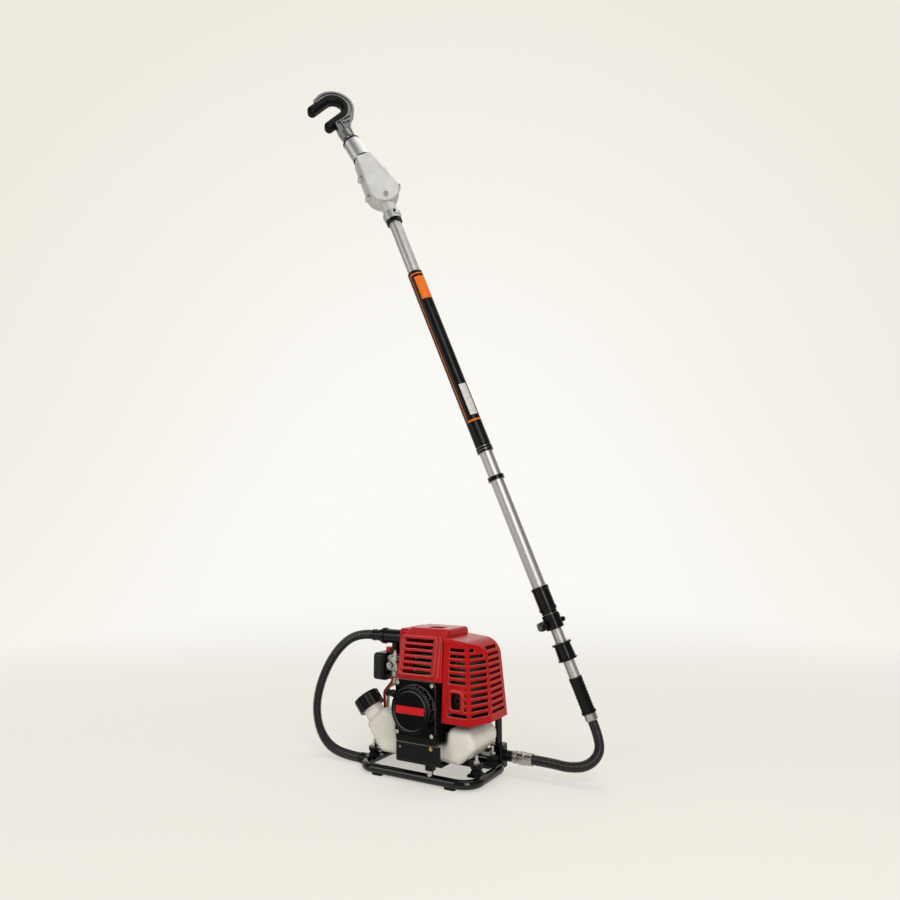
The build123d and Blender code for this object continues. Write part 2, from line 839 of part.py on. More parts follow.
def cowl_form(inset, low):
    """The cowl's outer or inner form: a side outline with a rising roof, crossed with a front outline."""
    def leaned(start, lean, z):
        return start + lean * (z - fan_high) / (cowl_top - fan_high)

    top = cowl_top - inset
    brow = cowl_brow - inset
    front = cowl_front + inset
    back = cowl_back - inset
    side = make_face(Polyline(
        (leaned(front, cowl_lean, low), low),
        (leaned(front, cowl_lean, brow), brow),
        (cowl_crest, top),
        (leaned(back, -cowl_side_lean, top), top),
        (leaned(back, -cowl_side_lean, low), low),
        close=True,
    ))
    side = fillet(side.vertices().sort_by(Axis.Y)[-3:], cowl_round - inset)
    left = cowl_x0 + inset
    right = cowl_x1 - inset
    width = make_face(Polyline(
        (leaned(left, cowl_side_lean, low), low),
        (leaned(left, cowl_side_lean, top), top),
        (leaned(right, -cowl_side_lean, top), top),
        (leaned(right, -cowl_side_lean, low), low),
        close=True,
    ))
    reach = cowl_x1 - cowl_front
    body = extrude(Plane.YZ * side, reach, both=True) & extrude(Plane.XZ * width, reach, both=True)
    inner = (left + 2 * cowl_side_lean, right - 2 * cowl_side_lean)
    flanks = body.edges().filter_by(
        lambda e: not inner[0] < e.center().X < inner[1] and e.center().Z > low + 1
    )
    return fillet(flanks, cowl_round - inset)


def shoulder_form(inset):
    """The block on the cowl's left flank, above the carburettor."""
    body = block(
        (shoulder_x + inset, shoulder_front + inset, shoulder_low + inset),
        (cowl_x0 + 2 * shoulder_round, shoulder_back - inset, cowl_top - shoulder_drop - inset),
    )
    return fillet(body.edges(), shoulder_round - inset)


def engine_cowl():
    low = fan_high + fit_gap
    body = cowl_form(0, low) + shoulder_form(0)
    body -= cowl_form(cover_wall, low - 1) + shoulder_form(cover_wall)
    lean = Rot(X=-Vector(0, cowl_lean, cowl_top - fan_high).get_angle(Vector(0, 0, 1)))
    front = Pos(engine_x + louvre_x, cowl_front, fan_high) * lean
    frame_low = slot_low - fan_high - 8
    frame_high = frame_low + slot_count * slot_pitch + 8
    frame_mid = (frame_low + frame_high) / 2
    frame_width = slot_width + 2 * louvre_margin
    rim = RectangleRounded(frame_width, frame_high - frame_low, 8)
    hole = RectangleRounded(frame_width - 2 * frame_rim, frame_high - frame_low - 2 * frame_rim, 5)
    rib = Pos(frame_width / 2 + rib_out, 0) * Rectangle(rib_width, frame_high - frame_low)
    let_in = cover_wall / 2
    raised = front * Pos(0, let_in, frame_mid) * Rot(X=90)
    body += raised * extrude(rim - hole, frame_rise + let_in)
    body += raised * extrude(rib, frame_rise + let_in)
    slot = Box(slot_width, 30, slot_high)
    for i in range(slot_count):
        body -= front * Pos(0, 0, frame_low + 11 + i * slot_pitch) * slot
    window = extrude(RectangleRounded(plug_window, 34, 10), 20, both=True)
    body -= Pos(engine_x + 8, cylinder_y - 12, cowl_top) * window
    body -= rod((0, cylinder_y, port_mid), (cowl_x1 + 10, cylinder_y, port_mid), port_r + port_room)
    body -= rod((0, cylinder_y, port_mid), (cowl_x0 - 10, cylinder_y, port_mid), port_r + port_room)
    for i in range(4):
        z = slot_low + 10 + i * slot_pitch
        body -= block((engine_x - 30, cowl_back - 20, z), (engine_x + 30, cowl_back + 10, z + slot_high))
    keep("engine_cowl", body)


def guard_form(inset):
    """The guard's outer or inner form: a slanted corner, walls leaning in and a round right shoulder."""
    left = cowl_x1 + fit_gap
    right = guard_right - inset
    low = guard_low if inset == 0 else guard_low - 1
    top = guard_top - inset

    def outline(share, z):
        front = guard_front + guard_front_in * share + inset
        back = guard_back - guard_front_in * share - inset
        corner = guard_chamfer_x - guard_top_in * share - 0.4 * inset
        far = Vector(corner, front) + 1.5 * guard_slant
        points = [(left, front), (corner, front), (far.X, far.Y), (far.X, back), (left, back)]
        return Pos(0, 0, z) * make_face(Polyline(*points, close=True))

    walls = loft([outline(0, low), outline(1, top)], ruled=True)
    profile = make_face(Polyline(
        (left, low), (left, top), (right - guard_top_in, top - guard_slope), (right, low), close=True
    ))
    corner = profile.vertices().filter_by(lambda v: v.X > left and v.Y > low)
    profile = fillet(corner, guard_shoulder - inset)
    body = walls & extrude(Plane.XZ * profile, guard_right, both=True)
    rim = body.edges().filter_by(
        lambda e: e.center().Y < guard_chamfer_y + 10 and e.center().Z > low + 1 and e.center().X > left + 1
    )
    return fillet(rim, guard_round - inset)


def muffler_guard():
    body = guard_form(0) - guard_form(cover_wall)
    slant_angle = Vector(1, 0, 0).get_angle(guard_slant)
    left = cowl_x1 + fit_gap
    shoulder_z = guard_top - guard_slope - guard_shoulder
    for i in range(guard_slot_count):
        z = guard_low + guard_margin + i * guard_slot_pitch
        share = (z - guard_low) / (guard_top - guard_low)
        lean_in = guard_top_in * share
        front = guard_front + guard_front_in * share
        front_x0 = left + guard_margin
        front_x1 = guard_chamfer_x - lean_in - guard_band
        crosses_port = abs(z + guard_slot_high / 2 - port_z) < port_high / 2 + 9
        if crosses_port:
            spans = [(front_x0, port_x - port_wide / 2 - 8), (port_x + port_wide / 2 + 8, front_x1)]
        else:
            spans = [(front_x0, front_x1)]
        for x0, x1 in spans:
            if x1 - x0 > 3:
                body -= block((x0, front - 8, z), (x1, front + 8, z + guard_slot_high))
        # Over the shoulder the right wall curves in, and the slots grow shorter with it.
        rise = max(0, z + guard_slot_high - shoulder_z)
        curve_in = guard_shoulder - sqrt(guard_shoulder**2 - rise**2)
        slant_length = guard_slant.length * (1 - curve_in / guard_slant.X)
        if slant_length > 3 * guard_band:
            corner = Vector(guard_chamfer_x - lean_in, front) + guard_slant.normalized() * slant_length / 2
            slot = Box(slant_length - 2 * guard_band, 14, guard_slot_high)
            body -= Pos(corner.X, corner.Y, z + guard_slot_high / 2) * Rot(Z=slant_angle) * slot
        right = guard_right - lean_in
        back = guard_back - guard_front_in * share
        body -= block(
            (right - curve_in - 8, guard_chamfer_y + guard_band, z),
            (right + 8, back - 12, z + guard_slot_high),
        )
    port_share = (port_z - guard_low) / (guard_top - guard_low)
    port_y = guard_front + guard_front_in * port_share
    face = Plane.XZ.offset(-port_y - cover_wall)
    bezel = RectangleRounded(port_wide + 10, port_high + 10, 9)
    opening = RectangleRounded(port_wide, port_high, 7)
    body += extrude(face * Pos(port_x, port_z) * bezel, cover_wall + 4)
    body -= extrude(face.offset(-10) * Pos(port_x, port_z) * opening, 30)
    keep("muffler_guard", body)


def muffler():
    box = block((muffler_x0, muffler_front, muffler_low), (muffler_x1, muffler_back, muffler_high))
    box = fillet(box.edges(), muffler_round)
    skin = Vector(muffler_wall, muffler_wall, muffler_wall)
    low = Vector(muffler_x0, muffler_front, muffler_low) + skin
    high = Vector(muffler_x1, muffler_back, muffler_high) - skin
    inside = fillet(block(low, high).edges(), muffler_round - muffler_wall)
    seam_x = (muffler_x0 + muffler_x1) / 2
    seam = block(
        (seam_x - 1.5, muffler_front - seam_out, muffler_low - seam_out),
        (seam_x + 1.5, muffler_back + seam_out, muffler_high + seam_out),
    )
    box += fillet(seam.edges().filter_by(Axis.X), muffler_round)
    flange_x = engine_x + fin_width / 2 + port_out + fit_gap
    box += rod((flange_x, cylinder_y, port_mid), (muffler_x0 + 4, cylinder_y, port_mid), port_r + 4)
    box -= rod((flange_x, cylinder_y, port_mid), (muffler_x0 + 2, cylinder_y, port_mid), port_r - 2)
    box -= inside
    tail_start = (port_x, muffler_front + 2, port_z)
    tail_end = (port_x, muffler_front - 12, port_z)
    box += pipe(tail_start, tail_end, pipe_r, pipe_r - 1.2)
    keep("muffler", box)


def carburettor():
    port_x0 = engine_x - fin_width / 2 - port_out - fit_gap
    carb_face = carb_x + carb_half + fit_gap
    inlet = pipe((port_x0, cylinder_y, port_mid), (carb_face, carb_y, carb_z), port_r + 2, carb_bore)
    keep("intake_manifold", inlet & block((carb_face, -through, 0), (port_x0, through, through)))

    body = block(
        (carb_x - carb_half, carb_y - 18, carb_z - 19), (carb_x + carb_half, carb_y + 18, carb_z + 19)
    )
    body = fillet(body.edges(), 4)
    body += rod((carb_x, carb_y, carb_z - 17), (carb_x, carb_y, carb_z - bowl_low), 14)
    body += rod((carb_x, carb_y, carb_z - bowl_low + 2), (carb_x, carb_y, carb_z - bowl_drop), 5)
    body += rod((carb_x, carb_y, carb_z + 17), (carb_x, carb_y, carb_z + carb_neck), 13)
    body += rod((carb_x - 6, carb_y - 16, carb_z - 4), (carb_x - 6, carb_y - 24, carb_z - 4), 8)
    body -= rod((carb_x - 40, carb_y, carb_z), (carb_x + 40, carb_y, carb_z), carb_bore)
    shaft_x = carb_x + 13
    shaft_z = carb_z + throttle_up
    shaft_in = carb_y - throttle_out / 2
    body += rod((shaft_x, carb_y - 17, shaft_z), (shaft_x, carb_y - throttle_out, shaft_z), 6)
    body -= rod((shaft_x, shaft_in, shaft_z), (shaft_x, carb_y - 30, shaft_z), throttle_r + run_gap)
    keep("carburettor", body)

    arm_y = carb_y - throttle_out - 0.4
    shaft = rod((shaft_x, shaft_in - 0.5, shaft_z), (shaft_x, arm_y - 5, shaft_z), throttle_r)
    arm_face = make_hull(Circle(6).edges() + (Pos(2, 24) * Circle(4)).edges()) - Pos(2, 24) * Circle(1.8)
    arm = extrude(Plane.XZ.offset(-arm_y) * Pos(shaft_x, shaft_z) * arm_face, 2.5)
    keep("throttle_lever", shaft + arm)

    base_x = carb_x - carb_half - fit_gap
    front = carb_y - filter_half_y
    back = carb_y + filter_half_y
    base = block((filter_x1, front, filter_low), (base_x, back, filter_high))
    base = fillet(base.edges().filter_by(Axis.X), 8)
    base -= rod((filter_x1 - 1, carb_y, carb_z), (base_x + 1, carb_y, carb_z), carb_bore + 3)
    neck_x = (filter_x1 + base_x) / 2
    base += rod((neck_x, carb_y, filter_high - 3), (neck_x, carb_y, filter_high + 9), 4)
    keep("air_filter_base", base)
    cover = block((filter_x0, front, filter_low), (filter_x1, back, filter_high))
    cover = fillet(cover.edges().filter_by(Axis.X), 10)
    cover = fillet(cover.faces().sort_by(Axis.X)[0].edges(), 6)
    hollow = block(
        (filter_x0 + filter_wall, front + filter_wall, filter_low + filter_wall),
        (filter_x1 + 1, back - filter_wall, filter_high - filter_wall),
    )
    cover -= fillet(hollow.edges().filter_by(Axis.X), 8)
    cover = Pos(-fit_gap, 0, 0) * cover
    keep("air_filter_cover", cover)
    knob = post(knob_r, 0, knob_height) - post(4 + run_gap, 0, knob_height - 4)
    for i in range(10):
        knob -= Rot(Z=i * 36) * Pos(knob_r + 1, 0, knob_height / 2) * Cylinder(2, knob_height)
    keep("choke_knob", Pos(neck_x, carb_y, filter_high + 0.4) * knob)

    barrel = rod((elbow_x0, carb_y, elbow_z), (elbow_x1, carb_y, elbow_z), elbow_r)
    barrel = fillet(barrel.edges().filter_by(GeomType.CIRCLE), 4)
    barrel += rod((elbow_x1 - 14, carb_y, elbow_z), (elbow_x1 - 6, carb_y, elbow_z), elbow_r + 2.5)
    barrel += rod((carb_x, carb_y, elbow_z), (carb_x, carb_y, carb_z + carb_neck + fit_gap), neck_r)
    barrel -= rod((elbow_x0 - 1, carb_y, elbow_z), (carb_x + 6, carb_y, elbow_z), elbow_r - 6)
    barrel -= rod((carb_x, carb_y, elbow_z), (carb_x, carb_y, carb_z), neck_r - 3)
    keep("intake_elbow", barrel)
    union = Pos(elbow_x0 - fit_gap, carb_y, elbow_z) * Rot(Y=-90) * turned(
        (intake_r - 3, 0),
        (union_r + 1, 0),
        (union_r + 1, 7),
        (union_r - 1, 9),
        (union_r - 1, union_length - 14),
        (union_r, union_length - 12),
        (union_r, union_length - 4),
        (union_r - 3, union_length),
        (intake_r - 3, union_length),
    )
    keep("hose_union", union)
    keep("intake_hose", cord("intake_hose", intake_route, intake_r))


def fuel_tank():
    """Two lobes over a low saddle under the engine, blown in one piece, with the filler on the left."""
    points = [
        (tank_left, tank_low),
        (tank_right - tank_toe, tank_low),
        (tank_right, tank_low + tank_toe),
        (tank_right, tank_right_top - tank_round),
        (tank_right - tank_round, tank_right_top),
        (saddle_right + tank_flank, tank_right_top),
        (saddle_right, tank_saddle),
        (saddle_left, tank_saddle),
        (saddle_left - tank_flank, tank_left_top - tank_flank),
        (shoulder_point.X, shoulder_point.Y),
        (beak_point.X, beak_point.Y),
    ]
    outline = make_face(Polyline(*points, close=True))
    beak_first = outline.vertices().sort_by(Axis.X)
    soft = fillet(beak_first[1:], tank_round)
    soft = fillet(soft.vertices().sort_by(Axis.X)[:1], tank_round / 2)
    length = tank_back - tank_front
    plane = Plane.XZ.offset(-tank_back)
    body = extrude(plane * soft, length)
    body = fillet(body.faces().filter_by(Axis.Y).edges(), tank_edge)
    neck = Pos(neck_point.X, neck_y, neck_point.Y) * Rot(Y=-neck_tilt)
    body += neck * post(filler_r, -neck_sunk, neck_length)
    inner = extrude(plane.offset(tank_wall) * offset(soft, -tank_wall), length - 2 * tank_wall)
    body -= fillet(inner.faces().filter_by(Axis.Y).edges(), tank_edge - tank_wall)
    body -= neck * post(filler_r - tank_wall, -1.5 * neck_sunk, neck_length + 1)

    cap_low = neck_length - cap_grip
    cap = Pos(0, 0, cap_low) * extrude(RegularPolygon(cap_r, cap_lobes), cap_height)
    cap = fillet(cap.faces().sort_by(Axis.Z)[-1].edges(), 3)
    cap -= post(filler_r + run_gap, cap_low - 1, neck_length + 0.3)
    for i in range(cap_lobes):
        cap -= Rot(Z=(i + 0.5) * 360 / cap_lobes) * Pos(cap_r + 1, 0, cap_low) * post(3, -1, cap_height + 1)
    keep("fuel_cap", neck * cap)

    fuel_points = [
        (carb_x, carb_y, carb_z - bowl_drop),
        (carb_x, carb_y, carb_z - bowl_drop - 16),
        (carb_x - 30, carb_y + 10.5, carb_z - bowl_drop - 28),
        (carb_x - 34, carb_y + 12, beak_z),
    ]
    return_points = [
        (carb_x - 5, carb_y - 9, carb_z - bowl_low - fit_gap),
        (carb_x - 5, carb_y - 9, carb_z - bowl_low - 14),
        (carb_x - 37, carb_y + 2, carb_z - bowl_low - 44),
        (carb_x - 33, carb_y + 1, beak_z),
    ]
    fuel_line = bent(fuel_points, fuel_line_r, line_bend)
    return_line = bent(return_points, return_line_r, line_bend)
    keep("fuel_lines", fuel_line, return_line)
    keep("fuel_tank", body - fuel_line - return_line)


def clutch():
    low = case_rear + fit_gap
    rear = case_rear + flange_thick
    outer = [
        (flange_r, low),
        (flange_r, rear),
        (clutch_mouth + 2, rear),
        (clutch_mouth, rear + 14),
        (nose_r + 4, nose_y - 12),
        (nose_r, nose_y - 8),
        (nose_r - 2, nose_y),
        (0, nose_y),
    ]
    form = crank_place * turned((0, low), *outer)
    form += rod((engine_x, bar_y, crank_z), (engine_x, bar_y, outlet_z), outlet_r)
    hollow = turned(
        (0, low),
        (clutch_mouth - 3, low),
        (clutch_mouth - 3, rear + 12),
        (nose_r, nose_y - 14),
        (output_r + run_gap, nose_y - 14),
        (output_r + run_gap, nose_y - 5),
        (0, nose_y - 5),
    )
    keep("clutch_housing", form - crank_place * hollow)
    drum_low = low + 6
    drum_high = rear + 13
    drum = turned(
        (clutch_drum_r - clutch_wall, drum_low),
        (clutch_drum_r, drum_low),
        (clutch_drum_r, drum_high - 3),
        (output_r + 3, drum_high + 5),
        (output_r, drum_high + 8),
        (output_r, nose_y - 6),
        (0, nose_y - 6),
        (0, drum_high + 1),
        (clutch_drum_r - clutch_wall, drum_high - 5),
    )
    keep("clutch_drum", crank_place * drum)
    shoes = ring(shoe_r, crank_r + fit_gap, drum_low + 1, drum_high - 7)
    shoes -= Box(2 * shoe_r, 6, through) - post(crank_r + 5, -through, through)
    for side in (-1, 1):
        shoes -= Pos(0, side * 20, 0) * post(5, 0, through)
    keep("crankshaft", crank_place * shoes)

    hose_path = [
        (engine_x, bar_y, outlet_z),
        (engine_x, bar_y, drive_z),
        (bar_x - block_size / 2, drive_y, drive_z),
    ]
    keep("rear_drive_hose", bent(hose_path, hose_r, rear_hose_bend))

    bar_line = Pos(engine_x, bar_y, bar_top) * Rot(Y=90)
    stay = block((engine_x - 16, bar_y - 3, crank_z), (engine_x + 16, bar_y + 3, bar_top))
    stay += bar_line * Cylinder(bar_r + stay_thick, 32)
    stay -= bar_line * Cylinder(bar_r + fit_gap, through)
    keep("rear_bar", stay - form)


def coupling():
    at = Pos(0, drive_y, drive_z) * Rot(Y=90)
    start = bar_x - block_size / 2
    collar_seat = coupling_r - 2.5
    keep("rear_drive_hose", at * post(stub_r, start, stub_end))
    body = turned(
        (0, stub_end),
        (coupling_r - 1, stub_end),
        (coupling_r, stub_end + 1),
        (coupling_r, collar_x0 - collar_travel),
        (collar_seat, collar_x0 - collar_travel),
        (collar_seat, collar_x1 + 2 * fit_gap),
        (coupling_r, collar_x1 + 2 * fit_gap),
        (coupling_r, coupling_x1 - 1),
        (coupling_r - 1, coupling_x1),
        (0, coupling_x1),
    )
    keep("coupling_socket", at * (body & post(coupling_r + 5, stub_end, collar_x1 + fit_gap)))
    keep("hose_fittings", at * (body & post(coupling_r + 5, collar_x1 + 2 * fit_gap, coupling_x1)))
    sleeve = turned(
        (collar_seat + slide_gap, collar_x0),
        (coupling_r, collar_x0),
        (coupling_r + 1, collar_x0 + 3),
        (coupling_r + 1, collar_x1 - 3),
        (coupling_r, collar_x1),
        (collar_seat + slide_gap, collar_x1),
    )
    keep("coupling_collar", at * sleeve)
    keep("drive_hose", cord("drive_hose", hose_route, hose_r))


def lower_pole():
    tube_bore = inner_r - inner_wall
    keep("hose_fittings", pole_place * turned(
        (0, 0),
        (ferrule_r - 1.5, 0),
        (ferrule_r, 1.5),
        (ferrule_r, ferrule_length),
        (inner_r - 6, ferrule_length),
        (0, 4),
    ))
    keep("inner_tube", pole_place * ring(inner_r, tube_bore, ferrule_length + fit_gap, inner_top))
    bore = inner_r + fit_gap
    grip = ring(grip_r, bore, ferrule_length + fit_gap, grip_top)
    grip += ring(grip_r + 2, bore, ferrule_length + fit_gap, ferrule_length + 5)
    pitch = (grip_top - ferrule_length - 20) / grip_ribs
    for i in range(grip_ribs):
        z = ferrule_length + 12 + i * pitch
        grip -= ring(grip_r + 3, grip_r - 0.8, z, z + pitch / 2)
    keep("lower_grips", pole_place * grip)
    keep("lower_grips", pole_place * turned(
        (bore, stop_low),
        (stop_r, stop_low),
        (stop_flange, stop_low + 1),
        (stop_flange, stop_low + 4),
        (stop_r, stop_low + 5),
        (stop_r - 1.5, stop_high - 6),
        (stop_flange, stop_high - 5),
        (stop_flange, stop_high - 1),
        (stop_r, stop_high),
        (bore, stop_high),
    ))
    slide_out = outer_r - outer_wall - slide_gap
    keep("inner_tube_bushes", pole_place * ring(slide_out, bore, inner_top - 40, inner_top))
    square = Box(shaft_square, shaft_square, shaft_top - shaft_square_low)
    shaft = post(shaft_r, ferrule_length + 2, shaft_square_low)
    shaft += Pos(0, 0, (shaft_top + shaft_square_low) / 2) * square
    keep("lower_shaft", pole_place * shaft)
    bushes = []
    for low in (ferrule_length + 6, shaft_square_low - 30):
        bushes.append(pole_place * ring(tube_bore - fit_gap, shaft_r + run_gap, low, low + bush_length))
    keep("inner_tube_bushes", *bushes)


def upper_pole():
    bore = inner_r + slide_gap
    keep("outer_tube", pole_place * ring(outer_r, outer_r - outer_wall, outer_low, tube_end))
    clamp = ring(clamp_r, bore, clamp_low, clamp_high - 6)
    clamp += ring(clamp_r - 2, bore, clamp_high - 6, outer_low - fit_gap)
    ear_low = clamp_low + 4
    ear_high = clamp_low + 26
    ear_out = ear_thick + ear_gap / 2
    ears = block((-ear_reach, -ear_out, ear_low), (-clamp_r + 6, ear_out, ear_high))
    ears = fillet(ears.edges().filter_by(Axis.Y).sort_by(Axis.X)[:2], 7)
    lug = Pos(clamp_r + 2, 0, (ear_low + ear_high) / 2) * Rot(X=90) * Cylinder(6, 16)
    clamp += (ears + lug) - post(clamp_r - 1, 0, through)
    split = block((-ear_reach - 1, -ear_gap / 2, clamp_low - 1), (0, ear_gap / 2, clamp_high))
    clamp -= split
    bolt_x = -ear_reach + 9
    bolt_z = (ear_low + ear_high) / 2
    clamp -= rod((bolt_x, -20, bolt_z), (bolt_x, 20, bolt_z), bolt_r + run_gap)
    keep("telescope_clamp", pole_place * clamp)
    front = -ear_out - slide_gap
    back = ear_out + 4
    knob = rod((bolt_x, front, bolt_z), (bolt_x, front - clamp_knob_thick, bolt_z), clamp_knob_r)
    knob = fillet(knob.edges().filter_by(GeomType.CIRCLE).sort_by(Axis.Y)[:1], 2.5)
    for i in range(8):
        angle = radians(i * 45)
        x = bolt_x + (clamp_knob_r + 1) * cos(angle)
        z = bolt_z + (clamp_knob_r + 1) * sin(angle)
        knob -= rod((x, front, z), (x, front - clamp_knob_thick, z), 2)
    knob += rod((bolt_x, front, bolt_z), (bolt_x, back, bolt_z), bolt_r)
    keep("clamp_knob", pole_place * knob)

    hold = outer_r + fit_gap
    keep("collars_and_seals", pole_place * turned(
        (hold, outer_low + 1),
        (hold + end_neck_wall, outer_low + 1),
        (hold + end_neck_wall, end_sleeve_low),
        (end_sleeve_r - 1, end_sleeve_low),
        (end_sleeve_r, end_sleeve_low + 2),
        (end_sleeve_r, end_sleeve_low + 8),
        (end_sleeve_r - 1.2, end_sleeve_low + 10),
        (end_sleeve_r - 1.2, end_sleeve_high - 9),
        (end_sleeve_r, end_sleeve_high - 7),
        (end_sleeve_r, end_sleeve_high - 2),
        (end_sleeve_r - 1, end_sleeve_high),
        (hold, end_sleeve_high),
    ))
    rings = []
    for z in (ring_station, double_ring_station, double_ring_station + 8):
        width = ring_width if z == ring_station else ring_width / 2
        body = ring(ring_r, hold, z, z + width)
        rings.append(pole_place * (body - ring(ring_r + 1, ring_r - 1.5, z + width * 0.4, z + width * 0.6)))
    keep("collars_and_seals", *rings)
    sleeve = turned(
        (hold, sleeve_low),
        (sleeve_r - 1.5, sleeve_low),
        (sleeve_r, sleeve_low + 3),
        (sleeve_r, sleeve_high - 3),
        (sleeve_r - 1.5, sleeve_high),
        (hold, sleeve_high),
    )
    keep("label_sleeve", pole_place * sleeve)

    bushes = []
    for low in (shaft_top + 60, tube_end - 60):
        out = outer_r - outer_wall - fit_gap
        bushes.append(pole_place * ring(out, upper_shaft_r + run_gap, low, low + bush_length))
    keep("upper_shaft_bushes", *bushes)
    top = gear_station + pinion_low - fit_gap
    shaft = post(upper_shaft_r, upper_shaft_low, top) + post(pinion_bore, top, gear_station + pinion_high)
    slot = shaft_square + 2 * slide_gap
    slot_high = shaft_top + 30
    shaft -= Pos(0, 0, (upper_shaft_low + slot_high) / 2) * Box(slot, slot, slot_high - upper_shaft_low)
    keep("upper_shaft", pole_place * shaft)


def pear(low_r, high_r, high_z):
    """An outline with a wide round end below and a narrow one above."""
    return make_hull(Circle(low_r).edges() + (Pos(0, high_z) * Circle(high_r)).edges())


def pear_half(plane, depth, grow):
    """One drafted half of the gearbox, from its parting face outwards."""
    shrink = depth * tan(radians(body_draft))
    face = pear(body_r + grow, top_r + grow, top_z)
    end = pear(body_r + grow - shrink, top_r + grow - shrink, top_z)
    return loft([plane * face, plane.offset(depth) * end], ruled=True)


def gearbox():
    front_plane = Plane.XZ
    rear_plane = Plane(origin=(0, fit_gap, 0), x_dir=(-1, 0, 0), z_dir=(0, 1, 0))
    inside = pear(body_r - body_wall, top_r - body_wall, top_z)
    above = block((-through, -through, guide_seat), (through, through, through))
    ceiling = Pos(0, 0, -body_wall) * above
    bore = post(guide_spigot + fit_gap, 0, guide_seat)

    front = pear_half(front_plane, -body_front, 0)
    front = fillet(front.faces().sort_by(Axis.Y)[0].edges(), 4)
    front_cut = pear_half(front_plane, -body_front, fit_gap)
    front -= extrude(front_plane * inside, -body_front - body_wall) - ceiling
    rear = pear_half(rear_plane, body_back - fit_gap, 0)
    rear = fillet(rear.faces().sort_by(Axis.Y)[-1].edges(), 4)
    rear -= extrude(rear_plane * inside, body_back - fit_gap - body_wall) - ceiling
    rear += rod((0, gear_back + 1, 0), (0, body_back + 7, 0), gear_shaft_r + 5)
    rear -= rod((0, gear_back, 0), (0, body_back + 4, 0), gear_shaft_r + run_gap)

    screws = []
    room = extrude(front_plane * inside, through, both=True)
    for x, z in [(side * x, z) for x, z in boss_spots for side in (-1, 1)]:
        front += rod((x, -boss_thick, z), (x, 0, z), boss_r) - room
        rear += rod((x, fit_gap, z), (x, boss_thick, z), boss_r) - room
        hole = rod((x, -boss_thick, z), (x, boss_thick, z), screw_shank + fit_gap)
        front -= hole + rod((x, -boss_thick, z), (x, body_front, z), screw_r + fit_gap)
        rear -= hole
        screw = post(screw_shank, -1.5 * boss_thick, 0) + post(screw_r, 0, 4) - hex_prism(4, 2, 4)
        screws.append(head_place * Pos(x, -boss_thick, z) * Rot(X=90) * screw)
    front = (front - above) - bore
    rear = (rear - above) - bore

    # The neck stands in line with the pole, which the head leans away from.
    tilt_back = Rot(Y=head_tilt)
    neck_low = 2 - collar_in - gear_out
    tube_seat = -gear_out
    neck = ring(neck_out, bearing_out + fit_gap, neck_low, 0)
    neck -= post(outer_r + fit_gap, neck_low, tube_seat + fit_gap)
    neck = tilt_back * neck - room - front_cut
    shaft_way = tilt_back * post(bearing_out + fit_gap, tube_seat, 0)
    keep("gearbox_front", head_place * (front - shaft_way))
    rear_shell = rear - shaft_way
    keep("gearbox_rear", head_place * (rear_shell + neck))
    keep("gearbox_screws", *screws)

    bearing_low = tube_seat + 3
    bearing = ring(bearing_out, upper_shaft_r + run_gap, bearing_low, bearing_low + 14)
    keep("upper_shaft_bushes", gear_place * bearing)
    # A clamping collar holds the neck on the tube, over a black rim.
    hold = outer_r + fit_gap
    top = tube_end - collar_in
    low = top - collar_high
    rim_top = low + collar_rim
    keep("gearbox_collar", pole_place * turned(
        (hold, rim_top + fit_gap),
        (collar_out - 2, rim_top + fit_gap),
        (collar_out - 2, rim_top + 8),
        (collar_out, rim_top + 9),
        (collar_out, top - 4),
        (collar_out - 3, top),
        (hold, top),
    ))
    keep("collars_and_seals", pole_place * turned(
        (hold, low),
        (collar_out - 4, low),
        (collar_out - 3, low + 1),
        (collar_out - 3, rim_top),
        (hold, rim_top),
    ))


def gear_train():
    # Crown wheel: straight teeth on the front face of a disc, driven by a small pinion on the pole's shaft.
    disc = rod((0, gear_root, 0), (0, gear_back, 0), gear_r)
    disc += rod((0, gear_back, 0), (0, body_back + 3.5, 0), gear_shaft_r)
    tooth_face = make_face(Polyline(
        (-crown_root / 2, 0),
        (-crown_tip / 2, tooth_high),
        (crown_tip / 2, tooth_high),
        (crown_root / 2, 0),
        close=True,
    ))
    tooth_plane = Plane(origin=(0, gear_root, -gear_r), x_dir=(1, 0, 0), z_dir=(0, 0, 1))
    tooth = extrude(tooth_plane * Rot(Z=180) * tooth_face, tooth_length)
    for i in range(gear_teeth):
        disc += Rot(Y=(i + 0.5) * 360 / gear_teeth) * tooth
    disc += rod((0, gear_root, -crank_throw), (0, pin_tip, -crank_throw), crank_pin_r)
    disc += rod((0, gear_root, -crank_throw), (0, gear_root - 3, -crank_throw), crank_pin_r + 3)
    keep("crank_gear", gear_place * disc)

    body = post(pinion_r - tooth_root, pinion_low, pinion_high)
    leaf_low = pinion_r - tooth_root - 0.5
    leaf_high = pinion_r + tooth_top
    leaf = make_face(Polyline(
        (-pinion_root / 2, leaf_low),
        (-pinion_tip / 2, leaf_high),
        (pinion_tip / 2, leaf_high),
        (pinion_root / 2, leaf_low),
        close=True,
    ))
    leaf_bar = Pos(0, 0, pinion_low) * extrude(leaf, pinion_high - pinion_low)
    for i in range(pinion_teeth):
        body += Rot(Z=i * 360 / pinion_teeth) * leaf_bar
    body -= post(pinion_bore + fit_gap, pinion_low, pinion_high)
    keep("upper_shaft", gear_place * body)


